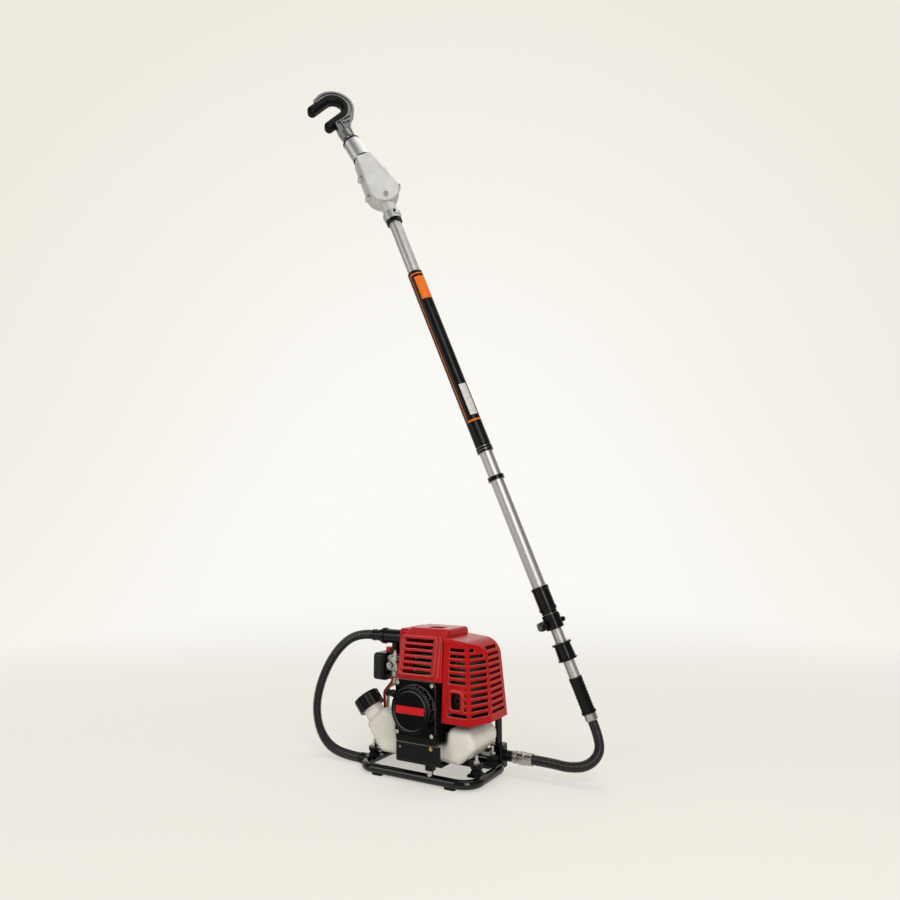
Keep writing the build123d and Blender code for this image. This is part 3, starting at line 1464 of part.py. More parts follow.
def plunger():
    wrist_z = head_rod_length - crank_throw
    eyes = Plane.XZ.offset(-head_rod_back)
    thick = head_rod_back - head_rod_front
    outline = make_hull(
        (Pos(0, -crank_throw) * Circle(head_eye)).edges() + (Pos(0, wrist_z) * Circle(wrist_eye)).edges()
    )
    bar = extrude(eyes * outline, thick)
    bar -= extrude(eyes * (Pos(0, -crank_throw) * Circle(crank_pin_r + run_gap)), thick)
    bar -= extrude(eyes * (Pos(0, wrist_z) * Circle(wrist_r + run_gap)), thick)
    keep("head_rod", head_place * bar)
    slider = post(crosshead_r, crosshead_low, crosshead_high)
    slider &= block(
        (-crosshead_r, head_rod_back + fit_gap, crosshead_low),
        (crosshead_r, gear_root - tooth_high - free_gap, crosshead_high),
    )
    slider += post(plunger_r, crosshead_high, plunger_top)
    slider += rod((0, 0, wrist_z), (0, head_rod_front - 1, wrist_z), wrist_r)
    keep("plunger", head_place * slider)

    base = guide_seat + fit_gap
    inner = guide_r - 2
    guide = ring(guide_r, guide_bush_r + fit_gap, base, guide_high)
    guide += ring(guide_spigot, guide_bush_r + fit_gap, guide_low, base)
    for z in (base, guide_high - guide_ring):
        guide -= ring(guide_r + 1, inner, z, z + guide_ring)
        band = ring(guide_r + 1, inner + fit_gap, z + fit_gap, z + guide_ring - fit_gap)
        keep("collars_and_seals", head_place * band)
    keep("plunger_guide", head_place * guide)
    keep("guide_bush", head_place * ring(guide_bush_r, plunger_r + run_gap, guide_low + 1, guide_high - 2))
    seal_low = guide_high + fit_gap
    seal_top = guide_high + seal_thick
    keep("collars_and_seals", head_place * turned(
        (plunger_r + run_gap, seal_low),
        (seal_r, seal_low),
        (seal_r - 1, seal_top - 2),
        (plunger_r + 4, seal_top),
        (plunger_r + run_gap, seal_top),
    ))
    nut = hex_prism(hook_nut, hook_neck_low - 7, hook_neck_low - fit_gap)
    nut -= post(plunger_r + fit_gap, 0, hook_neck_low)
    keep("plunger", head_place * nut)


def hook():
    # Casting: a bend with two arms, and one long groove round both faces.
    right = Pos(2 * hook_out, 0) * Rectangle(4 * hook_out, 4 * hook_out)
    band = (Circle(hook_out) - Circle(hook_mid)) & right
    upper = make_face(Polyline(
        (0, hook_mid),
        (0, hook_out),
        (-upper_arm, hook_mid + upper_tip),
        (-upper_arm, hook_mid),
        close=True,
    ))
    lower = make_face(Polyline(
        (0, -hook_mid),
        (0, -hook_out),
        (-lower_arm, -hook_mid - lower_tip),
        (-lower_arm, -hook_mid),
        close=True,
    ))
    outline = band + upper + lower
    groove = offset(outline, -hook_rim, kind=Kind.INTERSECTION)
    bend = extrude(Plane.XZ * outline, hook_thick / 2, both=True)
    for side in (-1, 1):
        face = Plane.XZ.offset(side * (hook_thick / 2 - hook_pocket))
        bend -= extrude(face * groove, side * hook_pocket)
    to_bend = Pos(hook_x, 0, hook_z) * Rot(Y=-hook_tilt)

    neck_mid = (hook_neck_narrow + hook_neck_wide) / 4
    blade = make_face(Polyline(
        (-hook_neck_narrow / 2, hook_neck_low),
        (hook_neck_narrow / 2, hook_neck_low),
        (neck_mid, hook_neck_low + 26),
        (hook_x + hook_neck_wide, hook_neck_top + 16),
        (hook_x - hook_neck_wide / 2, hook_neck_top),
        (-neck_mid, hook_neck_low + 26),
        close=True,
    ))
    neck = extrude(Plane.XZ * blade, hook_thick / 2 + 1, both=True)
    recess = offset(blade, -neck_rim, kind=Kind.INTERSECTION)
    recess -= Pos(hook_x / 2, hook_neck_low) * Rectangle(neck_rib, through)
    for side in (-1, 1):
        face = Plane.XZ.offset(side * (hook_thick / 2 + 1 - neck_pocket))
        neck -= extrude(face * recess, side * neck_pocket)
    neck += post(hook_neck_narrow / 2, hook_neck_low, hook_neck_low + 22)
    throat = to_bend * extrude(Plane.XZ * Circle(hook_mid), hook_thick, both=True)
    casting = to_bend * bend + (neck - throat)
    casting -= post(plunger_r + fit_gap, hook_neck_low, plunger_top + fit_gap)
    keep("hook_casting", head_place * casting)

    # Liner: one soft section carried round the throat, with a bulb at each end.
    middle = (hook_mid + hook_gap) / 2
    path = Polyline((-liner_upper, 0, middle), (0, 0, middle))
    path += ThreePointArc((0, 0, middle), (middle, 0, 0), (0, 0, -middle))
    path += Polyline((0, 0, -middle), (-liner_lower, 0, -middle))
    section = Rectangle(liner_thick, hook_mid - hook_gap - 2 * fit_gap)
    section = fillet(section.vertices().group_by(Axis.Y)[0], liner_round)
    start = Plane(origin=(-liner_upper, 0, middle), x_dir=(0, 1, 0), z_dir=(1, 0, 0))
    liner = sweep(start * section, path=path)
    pad_z = hook_gap + liner_tip_r
    for arm, end, z in ((upper_arm, liner_upper, pad_z), (lower_arm, liner_lower, -pad_z)):
        ends = (Pos(-arm, z) * Circle(liner_tip_r)).edges() + (Pos(-end, z) * Circle(liner_tip_r)).edges()
        pad = extrude(Plane.XZ * make_hull(ends), liner_thick / 2, both=True)
        liner += fillet(pad.faces().filter_by(Axis.Y).edges(), liner_round)
    grown = offset(upper + lower, fit_gap)
    liner -= extrude(Plane.XZ * grown, hook_thick / 2 + fit_gap, both=True)
    socket = extrude(Plane.XZ * offset(blade, fit_gap), liner_thick, both=True)
    socket -= to_bend * extrude(Plane.XZ * Circle(hook_mid - fit_gap), liner_thick, both=True)
    keep("hook_liner", head_place * (to_bend * liner - socket))


def write():
    os.makedirs("parts", exist_ok=True)
    for name, solids in nodes.items():
        whole = [s for part in solids for s in part.solids()]
        export_step(Compound(children=whole), f"parts/{name}.step")
        print(name, len(whole), round(sum(s.volume for s in whole)))


base_frame()
cradle()
crankcase()
cylinder()
starter()
engine_cowl()
muffler_guard()
muffler()
carburettor()
fuel_tank()
clutch()
coupling()
lower_pole()
upper_pole()
gearbox()
gear_train()
plunger()
hook()
write()
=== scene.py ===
import math

import bmesh
import bpy
from mathutils import Matrix, Vector


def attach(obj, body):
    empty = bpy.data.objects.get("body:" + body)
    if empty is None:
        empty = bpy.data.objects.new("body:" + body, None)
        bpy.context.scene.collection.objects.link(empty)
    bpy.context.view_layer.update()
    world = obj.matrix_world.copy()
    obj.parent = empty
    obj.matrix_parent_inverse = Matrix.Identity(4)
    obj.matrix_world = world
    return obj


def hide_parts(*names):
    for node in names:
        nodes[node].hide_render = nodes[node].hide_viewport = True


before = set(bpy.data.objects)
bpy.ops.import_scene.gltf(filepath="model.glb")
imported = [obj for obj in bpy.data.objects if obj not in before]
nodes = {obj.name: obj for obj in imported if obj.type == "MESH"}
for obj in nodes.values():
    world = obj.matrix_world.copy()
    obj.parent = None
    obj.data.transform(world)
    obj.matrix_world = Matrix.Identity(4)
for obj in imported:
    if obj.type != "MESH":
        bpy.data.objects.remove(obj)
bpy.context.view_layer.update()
scene = bpy.context.scene
scene.view_settings.view_transform = "Standard"

# Places that the looks share with the CAD part, in metres
ENGINE_X = 0.017
CRANK_Z = 0.173
FACE_Y = -0.1305  # the flat disc of the starter drum
PLATE_Y = -0.108  # the outside of the cradle's front wall
PLATE_TOP = 0.0932  # just above that wall's edge
CARB = Vector((-0.104, -0.014, 0.256))
CARB_FRONT = CARB.y - 0.018
ELBOW_END = Vector((-0.1445, -0.014, 0.323))
DRIVE_Y = 0.077698
DRIVE_Z = 0.042
LEG_FOOT = Vector((-0.147698, 0.077698, 0.014))  # the rear bar's left leg, on the hoop's middle line
LEG_R = 0.009
HOOP_R = 0.011
POLE_FOOT = Vector((0.385998, 0.095998, 0.149))
POLE_TURN = math.radians(15.0)
POLE_LEAN = math.radians(21.2)
POLE_TWIST = math.radians(28.0)
HEAD_TILT = math.radians(10.0)
COLLAR_STATION = 1.442  # how far up the pole
GEAR_STATION = 1.525
FERRULE = 0.039  # the hose's straight end below the pole's foot
lean_dir = Vector((math.cos(POLE_TURN), math.sin(POLE_TURN), 0))
pole_axis = Vector((0, 0, math.cos(POLE_LEAN))) - lean_dir * math.sin(POLE_LEAN)
pole_x = lean_dir * math.cos(POLE_LEAN) + Vector((0, 0, math.sin(POLE_LEAN)))
pole_y = pole_axis.cross(pole_x)
pole_frame = Matrix((pole_x, pole_y, pole_axis)).transposed().to_4x4()
pole_frame = Matrix.Translation(POLE_FOOT) @ pole_frame @ Matrix.Rotation(POLE_TWIST, 4, "Z")
head_frame = pole_frame @ Matrix.Translation((0, 0, GEAR_STATION)) @ Matrix.Rotation(-HEAD_TILT, 4, "Y")
# A piece's own Z turned towards the front, and towards the right
to_front = Matrix.Rotation(math.radians(90), 4, "X")
to_right = Matrix.Rotation(math.radians(90), 4, "Y")

INTAKE_ROUTE = [
    (-0.1802, -0.014, 0.323),
    (-0.228, -0.014, 0.323),
    (-0.284, -0.018, 0.290),
    (-0.331, -0.023, 0.226),
    (-0.358, -0.028, 0.146),
    (-0.350, -0.032, 0.080),
    (-0.312, -0.036, 0.032),
    (-0.252, -0.040, 0.014),
    (-0.191, -0.040, 0.014),
]
DRIVE_ROUTE = [
    (0.240998, DRIVE_Y, DRIVE_Z),
    (0.283998, DRIVE_Y, DRIVE_Z),
    (0.333998, 0.080698, 0.037),
    (0.376998, 0.086498, 0.046),
    (0.403498, 0.094998, 0.076),
    tuple(POLE_FOOT - pole_axis * FERRULE),
    tuple(POLE_FOOT),
]


# Camera, light and stage
VIEW_TURN = math.radians(30.0)  # the photo's view, turned from the front
FLOOR_GLOW = 0.5  # how much of the floor's brightness near the object is its own
LIT_PAPER = (0.96, 0.93, 0.86, 1)
# The paper's glow in the middle, further out and far away: whitest round a bright spot, a painted pool of
# light
WHITE = (0.973, 0.956, 0.922, 1)
PALE = (0.905, 0.880, 0.815, 1)
CREAM = (0.863, 0.823, 0.745, 1)


def make_camera():
    data = bpy.data.cameras.new("camera")
    data.lens = 26.84
    data.sensor_width = 36.0
    data.clip_end = 60.0
    cam = bpy.data.objects.new("camera", data)
    cam.location = (0.929, -1.520, 0.556)
    cam.rotation_euler = (math.radians(98.23), 0, VIEW_TURN)
    scene.collection.objects.link(cam)
    scene.camera = cam


def area_light(name, place, target, size, power, colour):
    data = bpy.data.lights.new(name, "AREA")
    data.shape = "RECTANGLE"
    data.size, data.size_y = size
    data.energy = power
    data.color = colour
    lamp = bpy.data.objects.new(name, data)
    lamp.location = place
    aim = Vector(target) - Vector(place)
    lamp.rotation_euler = aim.to_track_quat("-Z", "Y").to_euler()
    scene.collection.objects.link(lamp)


def stage_paper():
    """Pale paper with a painted pool of light: whitest round a bright spot and creamier away from it.

    Close to the object part of its brightness is the lamps' light, so the object's shadow shows.
    """
    mat = bpy.data.materials.new("stage_paper")
    mat.use_nodes = True
    tree = mat.node_tree
    bsdf = tree.nodes["Principled BSDF"]
    bsdf.inputs["Base Color"].default_value = LIT_PAPER
    bsdf.inputs["Roughness"].default_value = 1.0
    bsdf.inputs["Specular IOR Level"].default_value = 0.0
    place = tree.nodes.new("ShaderNodeNewGeometry").outputs["Position"]

    def reach(centre, near, far):
        """Nought within a distance of a point, and one beyond another."""
        away = tree.nodes.new("ShaderNodeVectorMath")
        away.operation = "DISTANCE"
        away.inputs[1].default_value = centre
        tree.links.new(place, away.inputs[0])
        ramp = tree.nodes.new("ShaderNodeMapRange")
        ramp.inputs["From Min"].default_value = near
        ramp.inputs["From Max"].default_value = far
        tree.links.new(away.outputs["Value"], ramp.inputs["Value"])
        return ramp.outputs["Result"]

    # A painted pool of light: the paper glows whitest near this spot and creamier further away.
    bright_spot = (-1.6, 2.8, 1.2)
    cream = tree.nodes.new("ShaderNodeValToRGB")
    cream.color_ramp.elements[0].color = WHITE
    cream.color_ramp.elements[1].color = CREAM
    middle = cream.color_ramp.elements.new(0.45)
    middle.color = PALE
    tree.links.new(reach(bright_spot, 1.6, 6.0), cream.inputs["Fac"])
    glow = tree.nodes.new("ShaderNodeEmission")
    glow.inputs["Strength"].default_value = 1.0
    tree.links.new(cream.outputs["Color"], glow.inputs["Color"])

    path = tree.nodes.new("ShaderNodeLightPath")
    seen = path.outputs["Is Camera Ray"]
    for ray in ("Is Glossy Ray", "Is Transmission Ray"):
        either = tree.nodes.new("ShaderNodeMath")
        either.operation = "MAXIMUM"
        tree.links.new(seen, either.inputs[0])
        tree.links.new(path.outputs[ray], either.inputs[1])
        seen = either.outputs["Value"]
    under_object = (0.1, 0.0, 0.0)
    own = tree.nodes.new("ShaderNodeMath")
    own.operation = "MULTIPLY_ADD"
    own.inputs[1].default_value = 1.0 - FLOOR_GLOW
    own.inputs[2].default_value = FLOOR_GLOW
    tree.links.new(reach(under_object, 0.25, 3.4), own.inputs[0])
    share = tree.nodes.new("ShaderNodeMath")
    share.operation = "MULTIPLY"
    tree.links.new(own.outputs["Value"], share.inputs[0])
    tree.links.new(seen, share.inputs[1])
    mix = tree.nodes.new("ShaderNodeMixShader")
    tree.links.new(share.outputs["Value"], mix.inputs["Fac"])
    tree.links.new(bsdf.outputs["BSDF"], mix.inputs[1])
    tree.links.new(glow.outputs["Emission"], mix.inputs[2])
    tree.links.new(mix.outputs["Shader"], tree.nodes["Material Output"].inputs["Surface"])
    return mat


def make_stage():
    """A pale floor that curves up into a wall behind the object."""
    view = Matrix.Rotation(VIEW_TURN, 4, "Z")
    half_width = 9.0
    front_edge = -7.0
    wall_start = 2.2
    wall_top = 8.0
    bend_r = 2.5
    bend_steps = 24
    profile = [(front_edge, 0.0), (wall_start, 0.0)]
    for i in range(1, bend_steps + 1):
        a = math.radians(90.0 * i / bend_steps)
        profile.append((wall_start + bend_r * math.sin(a), bend_r * (1 - math.cos(a))))
    profile.append((wall_start + bend_r, wall_top))
    verts = []
    for y, z in profile:
        verts.append(view @ Vector((-half_width, y, z)))
        verts.append(view @ Vector((half_width, y, z)))
    faces = [(2 * i, 2 * i + 1, 2 * i + 3, 2 * i + 2) for i in range(len(profile) - 1)]
    mesh = bpy.data.meshes.new("stage_floor")
    mesh.from_pydata(verts, [], faces)
    mesh.polygons.foreach_set("use_smooth", [True] * len(faces))
    mesh.materials.append(stage_paper())
    floor = bpy.data.objects.new("stage_floor", mesh)
    scene.collection.objects.link(floor)


def make_light():
    world = bpy.data.worlds.new("studio")
    scene.world = world
    world.use_nodes = True
    tree = world.node_tree
    light = tree.nodes["Background"]
    light.inputs["Color"].default_value = (1.0, 0.985, 0.95, 1)
    light.inputs["Strength"].default_value = 0.26
    # Beyond the paper's edges the camera sees the paper's own cream.
    backdrop = tree.nodes.new("ShaderNodeBackground")
    backdrop.inputs["Color"].default_value = CREAM
    mix = tree.nodes.new("ShaderNodeMixShader")
    path = tree.nodes.new("ShaderNodeLightPath")
    tree.links.new(path.outputs["Is Camera Ray"], mix.inputs["Fac"])
    tree.links.new(light.outputs["Background"], mix.inputs[1])
    tree.links.new(backdrop.outputs["Background"], mix.inputs[2])
    tree.links.new(mix.outputs["Shader"], tree.nodes["World Output"].inputs["Surface"])
    warm = (1.0, 0.98, 0.95)
    area_light("key_light", (2.1, -2.0, 1.9), (0.0, 0.0, 0.8), (1.3, 2.6), 60, warm)
    area_light("fill_light", (-1.9, -2.6, 1.5), (0.0, 0.0, 0.6), (1.4, 1.8), 20, warm)
    area_light("top_light", (0.1, 0.3, 3.4), (0.0, 0.0, 0.5), (2.2, 2.2), 34, (1.0, 0.99, 0.97))


make_camera()
make_stage()
make_light()


# Procedural materials
NOISE_LOW = 0.3  # most of a noise texture's values lie between these
NOISE_HIGH = 0.7


class Finish:
    """One node material, built up from a Principled shader and its texture nodes."""

    def __init__(self, name, colour, roughness, metallic=0.0, **sockets):
        self.mat = bpy.data.materials.new(name)
        self.mat.use_nodes = True
        self.tree = self.mat.node_tree
        self.bsdf = self.tree.nodes["Principled BSDF"]
        self.bsdf.inputs["Base Color"].default_value = (*colour, 1)
        self.bsdf.inputs["Roughness"].default_value = roughness
        self.bsdf.inputs["Metallic"].default_value = metallic
        for key, value in sockets.items():
            self.bsdf.inputs[key.replace("_", " ")].default_value = value
        self.colour = colour
        self.roughness = roughness
        self.coords = self.add("ShaderNodeTexCoord").outputs["Object"]

    def add(self, kind, **settings):
        node = self.tree.nodes.new(kind)
        for key, value in settings.items():
            setattr(node, key, value)
        return node

    def link(self, a, b):
        self.tree.links.new(a, b)

    def math(self, operation, a, b):
        """One sum of two values, each a number or a socket."""
        node = self.add("ShaderNodeMath", operation=operation)
        for socket, value in zip(node.inputs, (a, b)):
            if isinstance(value, (int, float)):
                socket.default_value = value
            else:
                self.link(value, socket)
        return node.outputs["Value"]

    def along(self, direction, start=(0, 0, 0)):
        """How far a point of the surface lies from a start, along a direction."""
        offset = self.add("ShaderNodeVectorMath", operation="SUBTRACT")
        offset.inputs[1].default_value = start
        self.link(self.coords, offset.inputs[0])
        dot = self.add("ShaderNodeVectorMath", operation="DOT_PRODUCT")
        dot.inputs[1].default_value = direction
        self.link(offset.outputs["Vector"], dot.inputs[0])
        return dot.outputs["Value"]

    def noise(self, scale, detail=4.0, coords=None):
        node = self.add("ShaderNodeTexNoise")
        node.inputs["Scale"].default_value = scale
        node.inputs["Detail"].default_value = detail
        self.link(coords or self.coords, node.inputs["Vector"])
        return node.outputs["Fac"]

    def remap(self, value, low, high, to_low, to_high):
        node = self.add("ShaderNodeMapRange")
        for key, number in (("From Min", low), ("From Max", high), ("To Min", to_low), ("To Max", to_high)):
            node.inputs[key].default_value = number
        self.link(value, node.inputs["Value"])
        return node.outputs["Result"]

    def band(self, value, low, high, soft=0.0004):
        """One between two values and nought outside them."""
        up = self.remap(value, low - soft, low + soft, 0.0, 1.0)
        down = self.remap(value, high - soft, high + soft, 1.0, 0.0)
        return self.math("MULTIPLY", up, down)

    def mix(self, factor, a, b):
        """Colour a where the factor is 0 and b where it is 1. Each is a colour or a socket."""
        node = self.add("ShaderNodeMix", data_type="RGBA")
        self.link(factor, node.inputs["Factor"])
        for key, value in (("A", a), ("B", b)):
            socket = [s for s in node.inputs if s.name == key and s.type == "RGBA"][0]
            if isinstance(value, (tuple, list)):
                socket.default_value = (*value, 1)
            else:
                self.link(value, socket)
        return [s for s in node.outputs if s.type == "RGBA"][0]

    def paint(self, socket):
        self.link(socket, self.bsdf.inputs["Base Color"])
        return self

    def base_colour(self):
        """The colour so far: a socket, or the plain colour that the finish began with."""
        links = self.bsdf.inputs["Base Color"].links
        return links[0].from_socket if links else self.colour

    def vary_colour(self, scale, amount, detail=5.0):
        fac = self.remap(self.noise(scale, detail), NOISE_LOW, NOISE_HIGH, 0.0, 1.0)
        dark = tuple(c * (1 - amount) for c in self.colour)
        light = tuple(min(1.0, c * (1 + amount)) for c in self.colour)
        return self.paint(self.mix(fac, dark, light))

    def vary_roughness(self, scale, amount):
        smoothest = max(0.03, self.roughness - amount)
        roughest = self.roughness + amount
        out = self.remap(self.noise(scale), NOISE_LOW, NOISE_HIGH, smoothest, roughest)
        self.link(out, self.bsdf.inputs["Roughness"])
        return self

    def bump(self, height, distance, strength=1.0):
        node = self.add("ShaderNodeBump")
        node.inputs["Strength"].default_value = strength
        node.inputs["Distance"].default_value = distance
        self.link(height, node.inputs["Height"])
        previous = self.bsdf.inputs["Normal"].links
        if previous:
            self.link(previous[0].from_socket, node.inputs["Normal"])
        self.link(node.outputs["Normal"], self.bsdf.inputs["Normal"])
        return self

    def soft_edges(self, radius):
        """Shades sharp edges as if they were rounded, under any bump that is already there."""
        bevel = self.add("ShaderNodeBevel", samples=6)
        bevel.inputs["Radius"].default_value = radius
        socket = self.bsdf.inputs["Normal"]
        while socket.links:
            socket = socket.links[0].from_node.inputs["Normal"]
        self.link(bevel.outputs["Normal"], socket)
        return self

    def edge_wear_and_highlight(self, colour, amount=0.6, radius=0.0016, patches=(0.42, 0.62), highlight_towards=None):
        """Paler colour where the surface turns sharply, used for wear and for painted highlights; given a
        direction, only where the rounded edge turns that way, which is a painted highlight.
        """
        bevel = self.add("ShaderNodeBevel", samples=4)
        bevel.inputs["Radius"].default_value = radius
        geometry = self.add("ShaderNodeNewGeometry")
        dot = self.add("ShaderNodeVectorMath", operation="DOT_PRODUCT")
        self.link(bevel.outputs["Normal"], dot.inputs[0])
        self.link(geometry.outputs["Normal"], dot.inputs[1])
        flat = 0.985  # cosines of the angle between the surface and its rounded self
        sharp = 0.86
        edge = self.remap(dot.outputs["Value"], flat, sharp, 0.0, amount)
        # Painted highlight: keep only the edges that turn towards the given direction, where a lamp would
        # light them.
        if highlight_towards is not None:
            turned = self.add("ShaderNodeVectorMath", operation="DOT_PRODUCT")
            turned.inputs[1].default_value = Vector(highlight_towards).normalized()
            self.link(bevel.outputs["Normal"], turned.inputs[0])
            towards = self.remap(turned.outputs["Value"], 0.45, 0.85, 0.0, 1.0)
            edge = self.math("MULTIPLY", edge, towards)
        patchy = self.remap(self.noise(160.0, 6.0), *patches, 0.0, 1.0)
        return self.paint(self.mix(self.math("MULTIPLY", edge, patchy), self.base_colour(), colour))

    def painted_pocket_shade(self, colour, distance=0.006, amount=0.9):
        """Painted shade: darker in pockets and corners, where nearby surfaces close round the surface."""
        open_sky = self.add("ShaderNodeAmbientOcclusion", samples=6, only_local=True)
        open_sky.inputs["Distance"].default_value = distance
        closed = self.remap(open_sky.outputs["AO"], 0.45, 0.9, amount, 0.0)
        return self.paint(self.mix(closed, self.base_colour(), colour))


def cast_metal(name, colour, roughness):
    """Sand-cast metal with a fine grain over slow waves."""
    f = Finish(name, colour, roughness, 1.0).vary_colour(38.0, 0.06).vary_roughness(70.0, 0.04)
    return f.bump(f.noise(800.0, 3.0), 0.00008, 0.3).bump(f.noise(120.0, 4.0), 0.0002, 0.15)


def drawn_tube(name, colour, roughness):
    """Satin tube with faint draw lines along the pole."""
    f = Finish(name, colour, roughness, 1.0)
    lines = f.add("ShaderNodeCombineXYZ")
    stretches = (("X", pole_x, 1.0), ("Y", pole_y, 1.0), ("Z", pole_axis, 0.012))
    for key, direction, stretch in stretches:
        f.link(f.math("MULTIPLY", f.along(direction, POLE_FOOT), stretch), lines.inputs[key])
    drawn = f.noise(700.0, 2.0, lines.outputs["Vector"])
    tone = f.remap(drawn, 0.35, 0.65, 0.0, 1.0)
    f.paint(f.mix(tone, tuple(c * 0.98 for c in colour), tuple(c * 1.02 for c in colour)))
    gloss_change = 0.015
    gloss = f.remap(drawn, NOISE_LOW, NOISE_HIGH, roughness - gloss_change, roughness + gloss_change)
    f.link(gloss, f.bsdf.inputs["Roughness"])
    return f


def plated(name, colour, roughness):
    """Plated or machined steel with a faint cloud in its gloss."""
    f = Finish(name, colour, roughness, 1.0).vary_colour(60.0, 0.05).vary_roughness(90.0, 0.025)
    return f.bump(f.noise(500.0, 3.0), 0.00002, 0.12)


def moulded(name, colour, roughness, grain=1100.0, depth=0.00012, **sockets):
    """Moulded plastic or rubber with a fine mould grain."""
    f = Finish(name, colour, roughness, 0.0, **sockets)
    f.vary_colour(24.0, 0.08).vary_roughness(55.0, 0.04)
    return f.bump(f.noise(grain, 2.0), depth, 0.3)


def coated(name, colour, roughness, **sockets):
    """Powder coat with a slight orange peel."""
    f = Finish(name, colour, roughness, 0.0, **sockets)
    f.vary_colour(30.0, 0.12).vary_roughness(40.0, 0.05)
    return f.bump(f.noise(420.0, 2.0), 0.0002, 0.2)


def two_tone(name, direction, split, first, second, roughness, **sockets):
    """Two pieces of one node told apart by where they lie."""
    f = Finish(name, first, roughness, 0.0, **sockets)
    place = f.along(direction)
    soft = 0.0004
    f.paint(f.mix(f.remap(place, split - soft, split + soft, 0.0, 1.0), first, second))
    f.vary_roughness(80.0, 0.05)
    return f.bump(f.noise(300.0), 0.0002, 0.3)


ORANGE = (0.80, 0.17, 0.015)
PATCH_WHITE = (0.62, 0.61, 0.58)


def sleeve_finish():
    """Black sleeve with a plain orange panel, thin orange lines and a bare white patch."""
    f = Finish("pole_sleeve", (0.004, 0.004, 0.005), 0.26, 0.0, Specular_IOR_Level=0.16)
    axes = pole_frame.to_3x3()
    side = f.along(axes.col[0], POLE_FOOT)
    front = f.math("MULTIPLY", f.along(axes.col[1], POLE_FOOT), -1.0)
    height = f.along(axes.col[2], POLE_FOOT)
    around = f.math("ARCTAN2", side, front)

    # Heights up the pole, and angles round it from the front
    line_low = 0.786
    line_high = 1.240
    blur = 0.01
    wide = f.band(around, -1.15, 0.95, blur)
    panel = f.math("MULTIPLY", f.band(height, 1.159, 1.229), f.band(around, -0.64, 0.92, blur))
    rails = f.math("MAXIMUM", f.band(around, -1.20, -1.08, blur), f.band(around, 1.00, 1.12, blur))
    rails = f.math("MULTIPLY", rails, f.band(height, line_low, line_high))
    ends = f.math("MAXIMUM", f.band(height, line_low, 0.7905), f.band(height, 1.2365, line_high))
    ends = f.math("MULTIPLY", ends, wide)
    orange = f.math("MAXIMUM", panel, f.math("MAXIMUM", rails, ends))
    white = f.math("MULTIPLY", f.band(height, 0.803, 0.893), f.band(around, -0.38, 0.66, blur))
    worn = f.remap(f.noise(90.0, 5.0), 0.35, 0.65, 0.86, 1.0)
    cloud = f.remap(f.noise(30.0), NOISE_LOW, NOISE_HIGH, 0, 1)
    base = f.mix(cloud, (0.003, 0.003, 0.004), (0.006, 0.006, 0.007))
    painted = f.mix(f.math("MULTIPLY", orange, worn), base, ORANGE)
    f.paint(f.mix(f.math("MULTIPLY", white, worn), painted, PATCH_WHITE))
    f.vary_roughness(60.0, 0.06)
    return f.bump(f.noise(800.0, 2.0), 0.0001, 0.3)


BLACK = (0.003, 0.003, 0.0033)
COAT_BLACK = (0.0025, 0.0025, 0.0028)
RUBBER_BLACK = (0.004, 0.004, 0.004)

gloss_coat = coated("gloss_black_coat", COAT_BLACK, 0.09, Specular_IOR_Level=0.36)
black_coat = coated("black_powder_coat", COAT_BLACK, 0.16, Specular_IOR_Level=0.16)
black_coat.edge_wear_and_highlight((0.04, 0.04, 0.04), amount=0.5).soft_edges(0.004)
rubber = moulded(
    "black_rubber", RUBBER_BLACK, 0.50, grain=600.0, depth=0.0003, Specular_IOR_Level=0.15
)
liner_rubber = moulded(
    "liner_rubber", (0.003, 0.003, 0.003), 0.34, grain=260.0, depth=0.0001, Specular_IOR_Level=0.10
)
hose_rubber = moulded(
    "hose_rubber", RUBBER_BLACK, 0.24, grain=500.0, depth=0.0001, Specular_IOR_Level=0.35
)
# A lighter copy of the hose rubber for the corrugated hose's ridges: a painted highlight.
lit_ridge_rubber = moulded(
    "hose_ridge_highlight", (0.022, 0.022, 0.021), 0.26, grain=500.0, depth=0.0001, Specular_IOR_Level=0.5
)
zinc = plated("bright_zinc", (0.50, 0.495, 0.475), 0.26)
polished = plated("polished_steel", (0.44, 0.425, 0.40), 0.26)
dull_steel = plated("dull_steel", (0.30, 0.29, 0.28), 0.40)
brass = plated("brass", (0.58, 0.37, 0.12), 0.28)
# Cast aluminium with painted shade in its pockets and corners.
aluminium = cast_metal("cast_aluminium", (0.45, 0.45, 0.44), 0.40).painted_pocket_shade((0.06, 0.055, 0.05))
gearbox_paint = coated("bead_blasted_silver", (0.52, 0.52, 0.51), 0.48, Metallic=0.35)
# Paler patches along the sharp edges: a painted highlight, broken up like wear.
gearbox_paint.edge_wear_and_highlight((0.74, 0.74, 0.73), amount=0.6, radius=0.0016, patches=(0.10, 0.50))
gearbox_paint.soft_edges(0.002)
guide_metal = plated("turned_aluminium", (0.48, 0.48, 0.47), 0.44)
hook_metal = cast_metal("hook_casting_metal", (0.20, 0.20, 0.20), 0.42)
# Painted shade in the casting's pockets and corners.
hook_metal.painted_pocket_shade((0.012, 0.012, 0.012), distance=0.008)
hook_metal.edge_wear_and_highlight((0.42, 0.42, 0.42), amount=0.5, radius=0.0012, patches=(0.10, 0.50))
tube_metal = drawn_tube("drawn_tube", (0.47, 0.466, 0.46), 0.46)
black_plastic = moulded("black_nylon", BLACK, 0.28, Specular_IOR_Level=0.13)
gloss_black = moulded(
    "gloss_black_plastic", BLACK, 0.15, grain=900.0, depth=0.00003, Specular_IOR_Level=0.20
)
drum_black = moulded(
    "starter_black", (0.0025, 0.0025, 0.0027), 0.18, grain=1200.0, depth=0.00003, Specular_IOR_Level=0.05
)
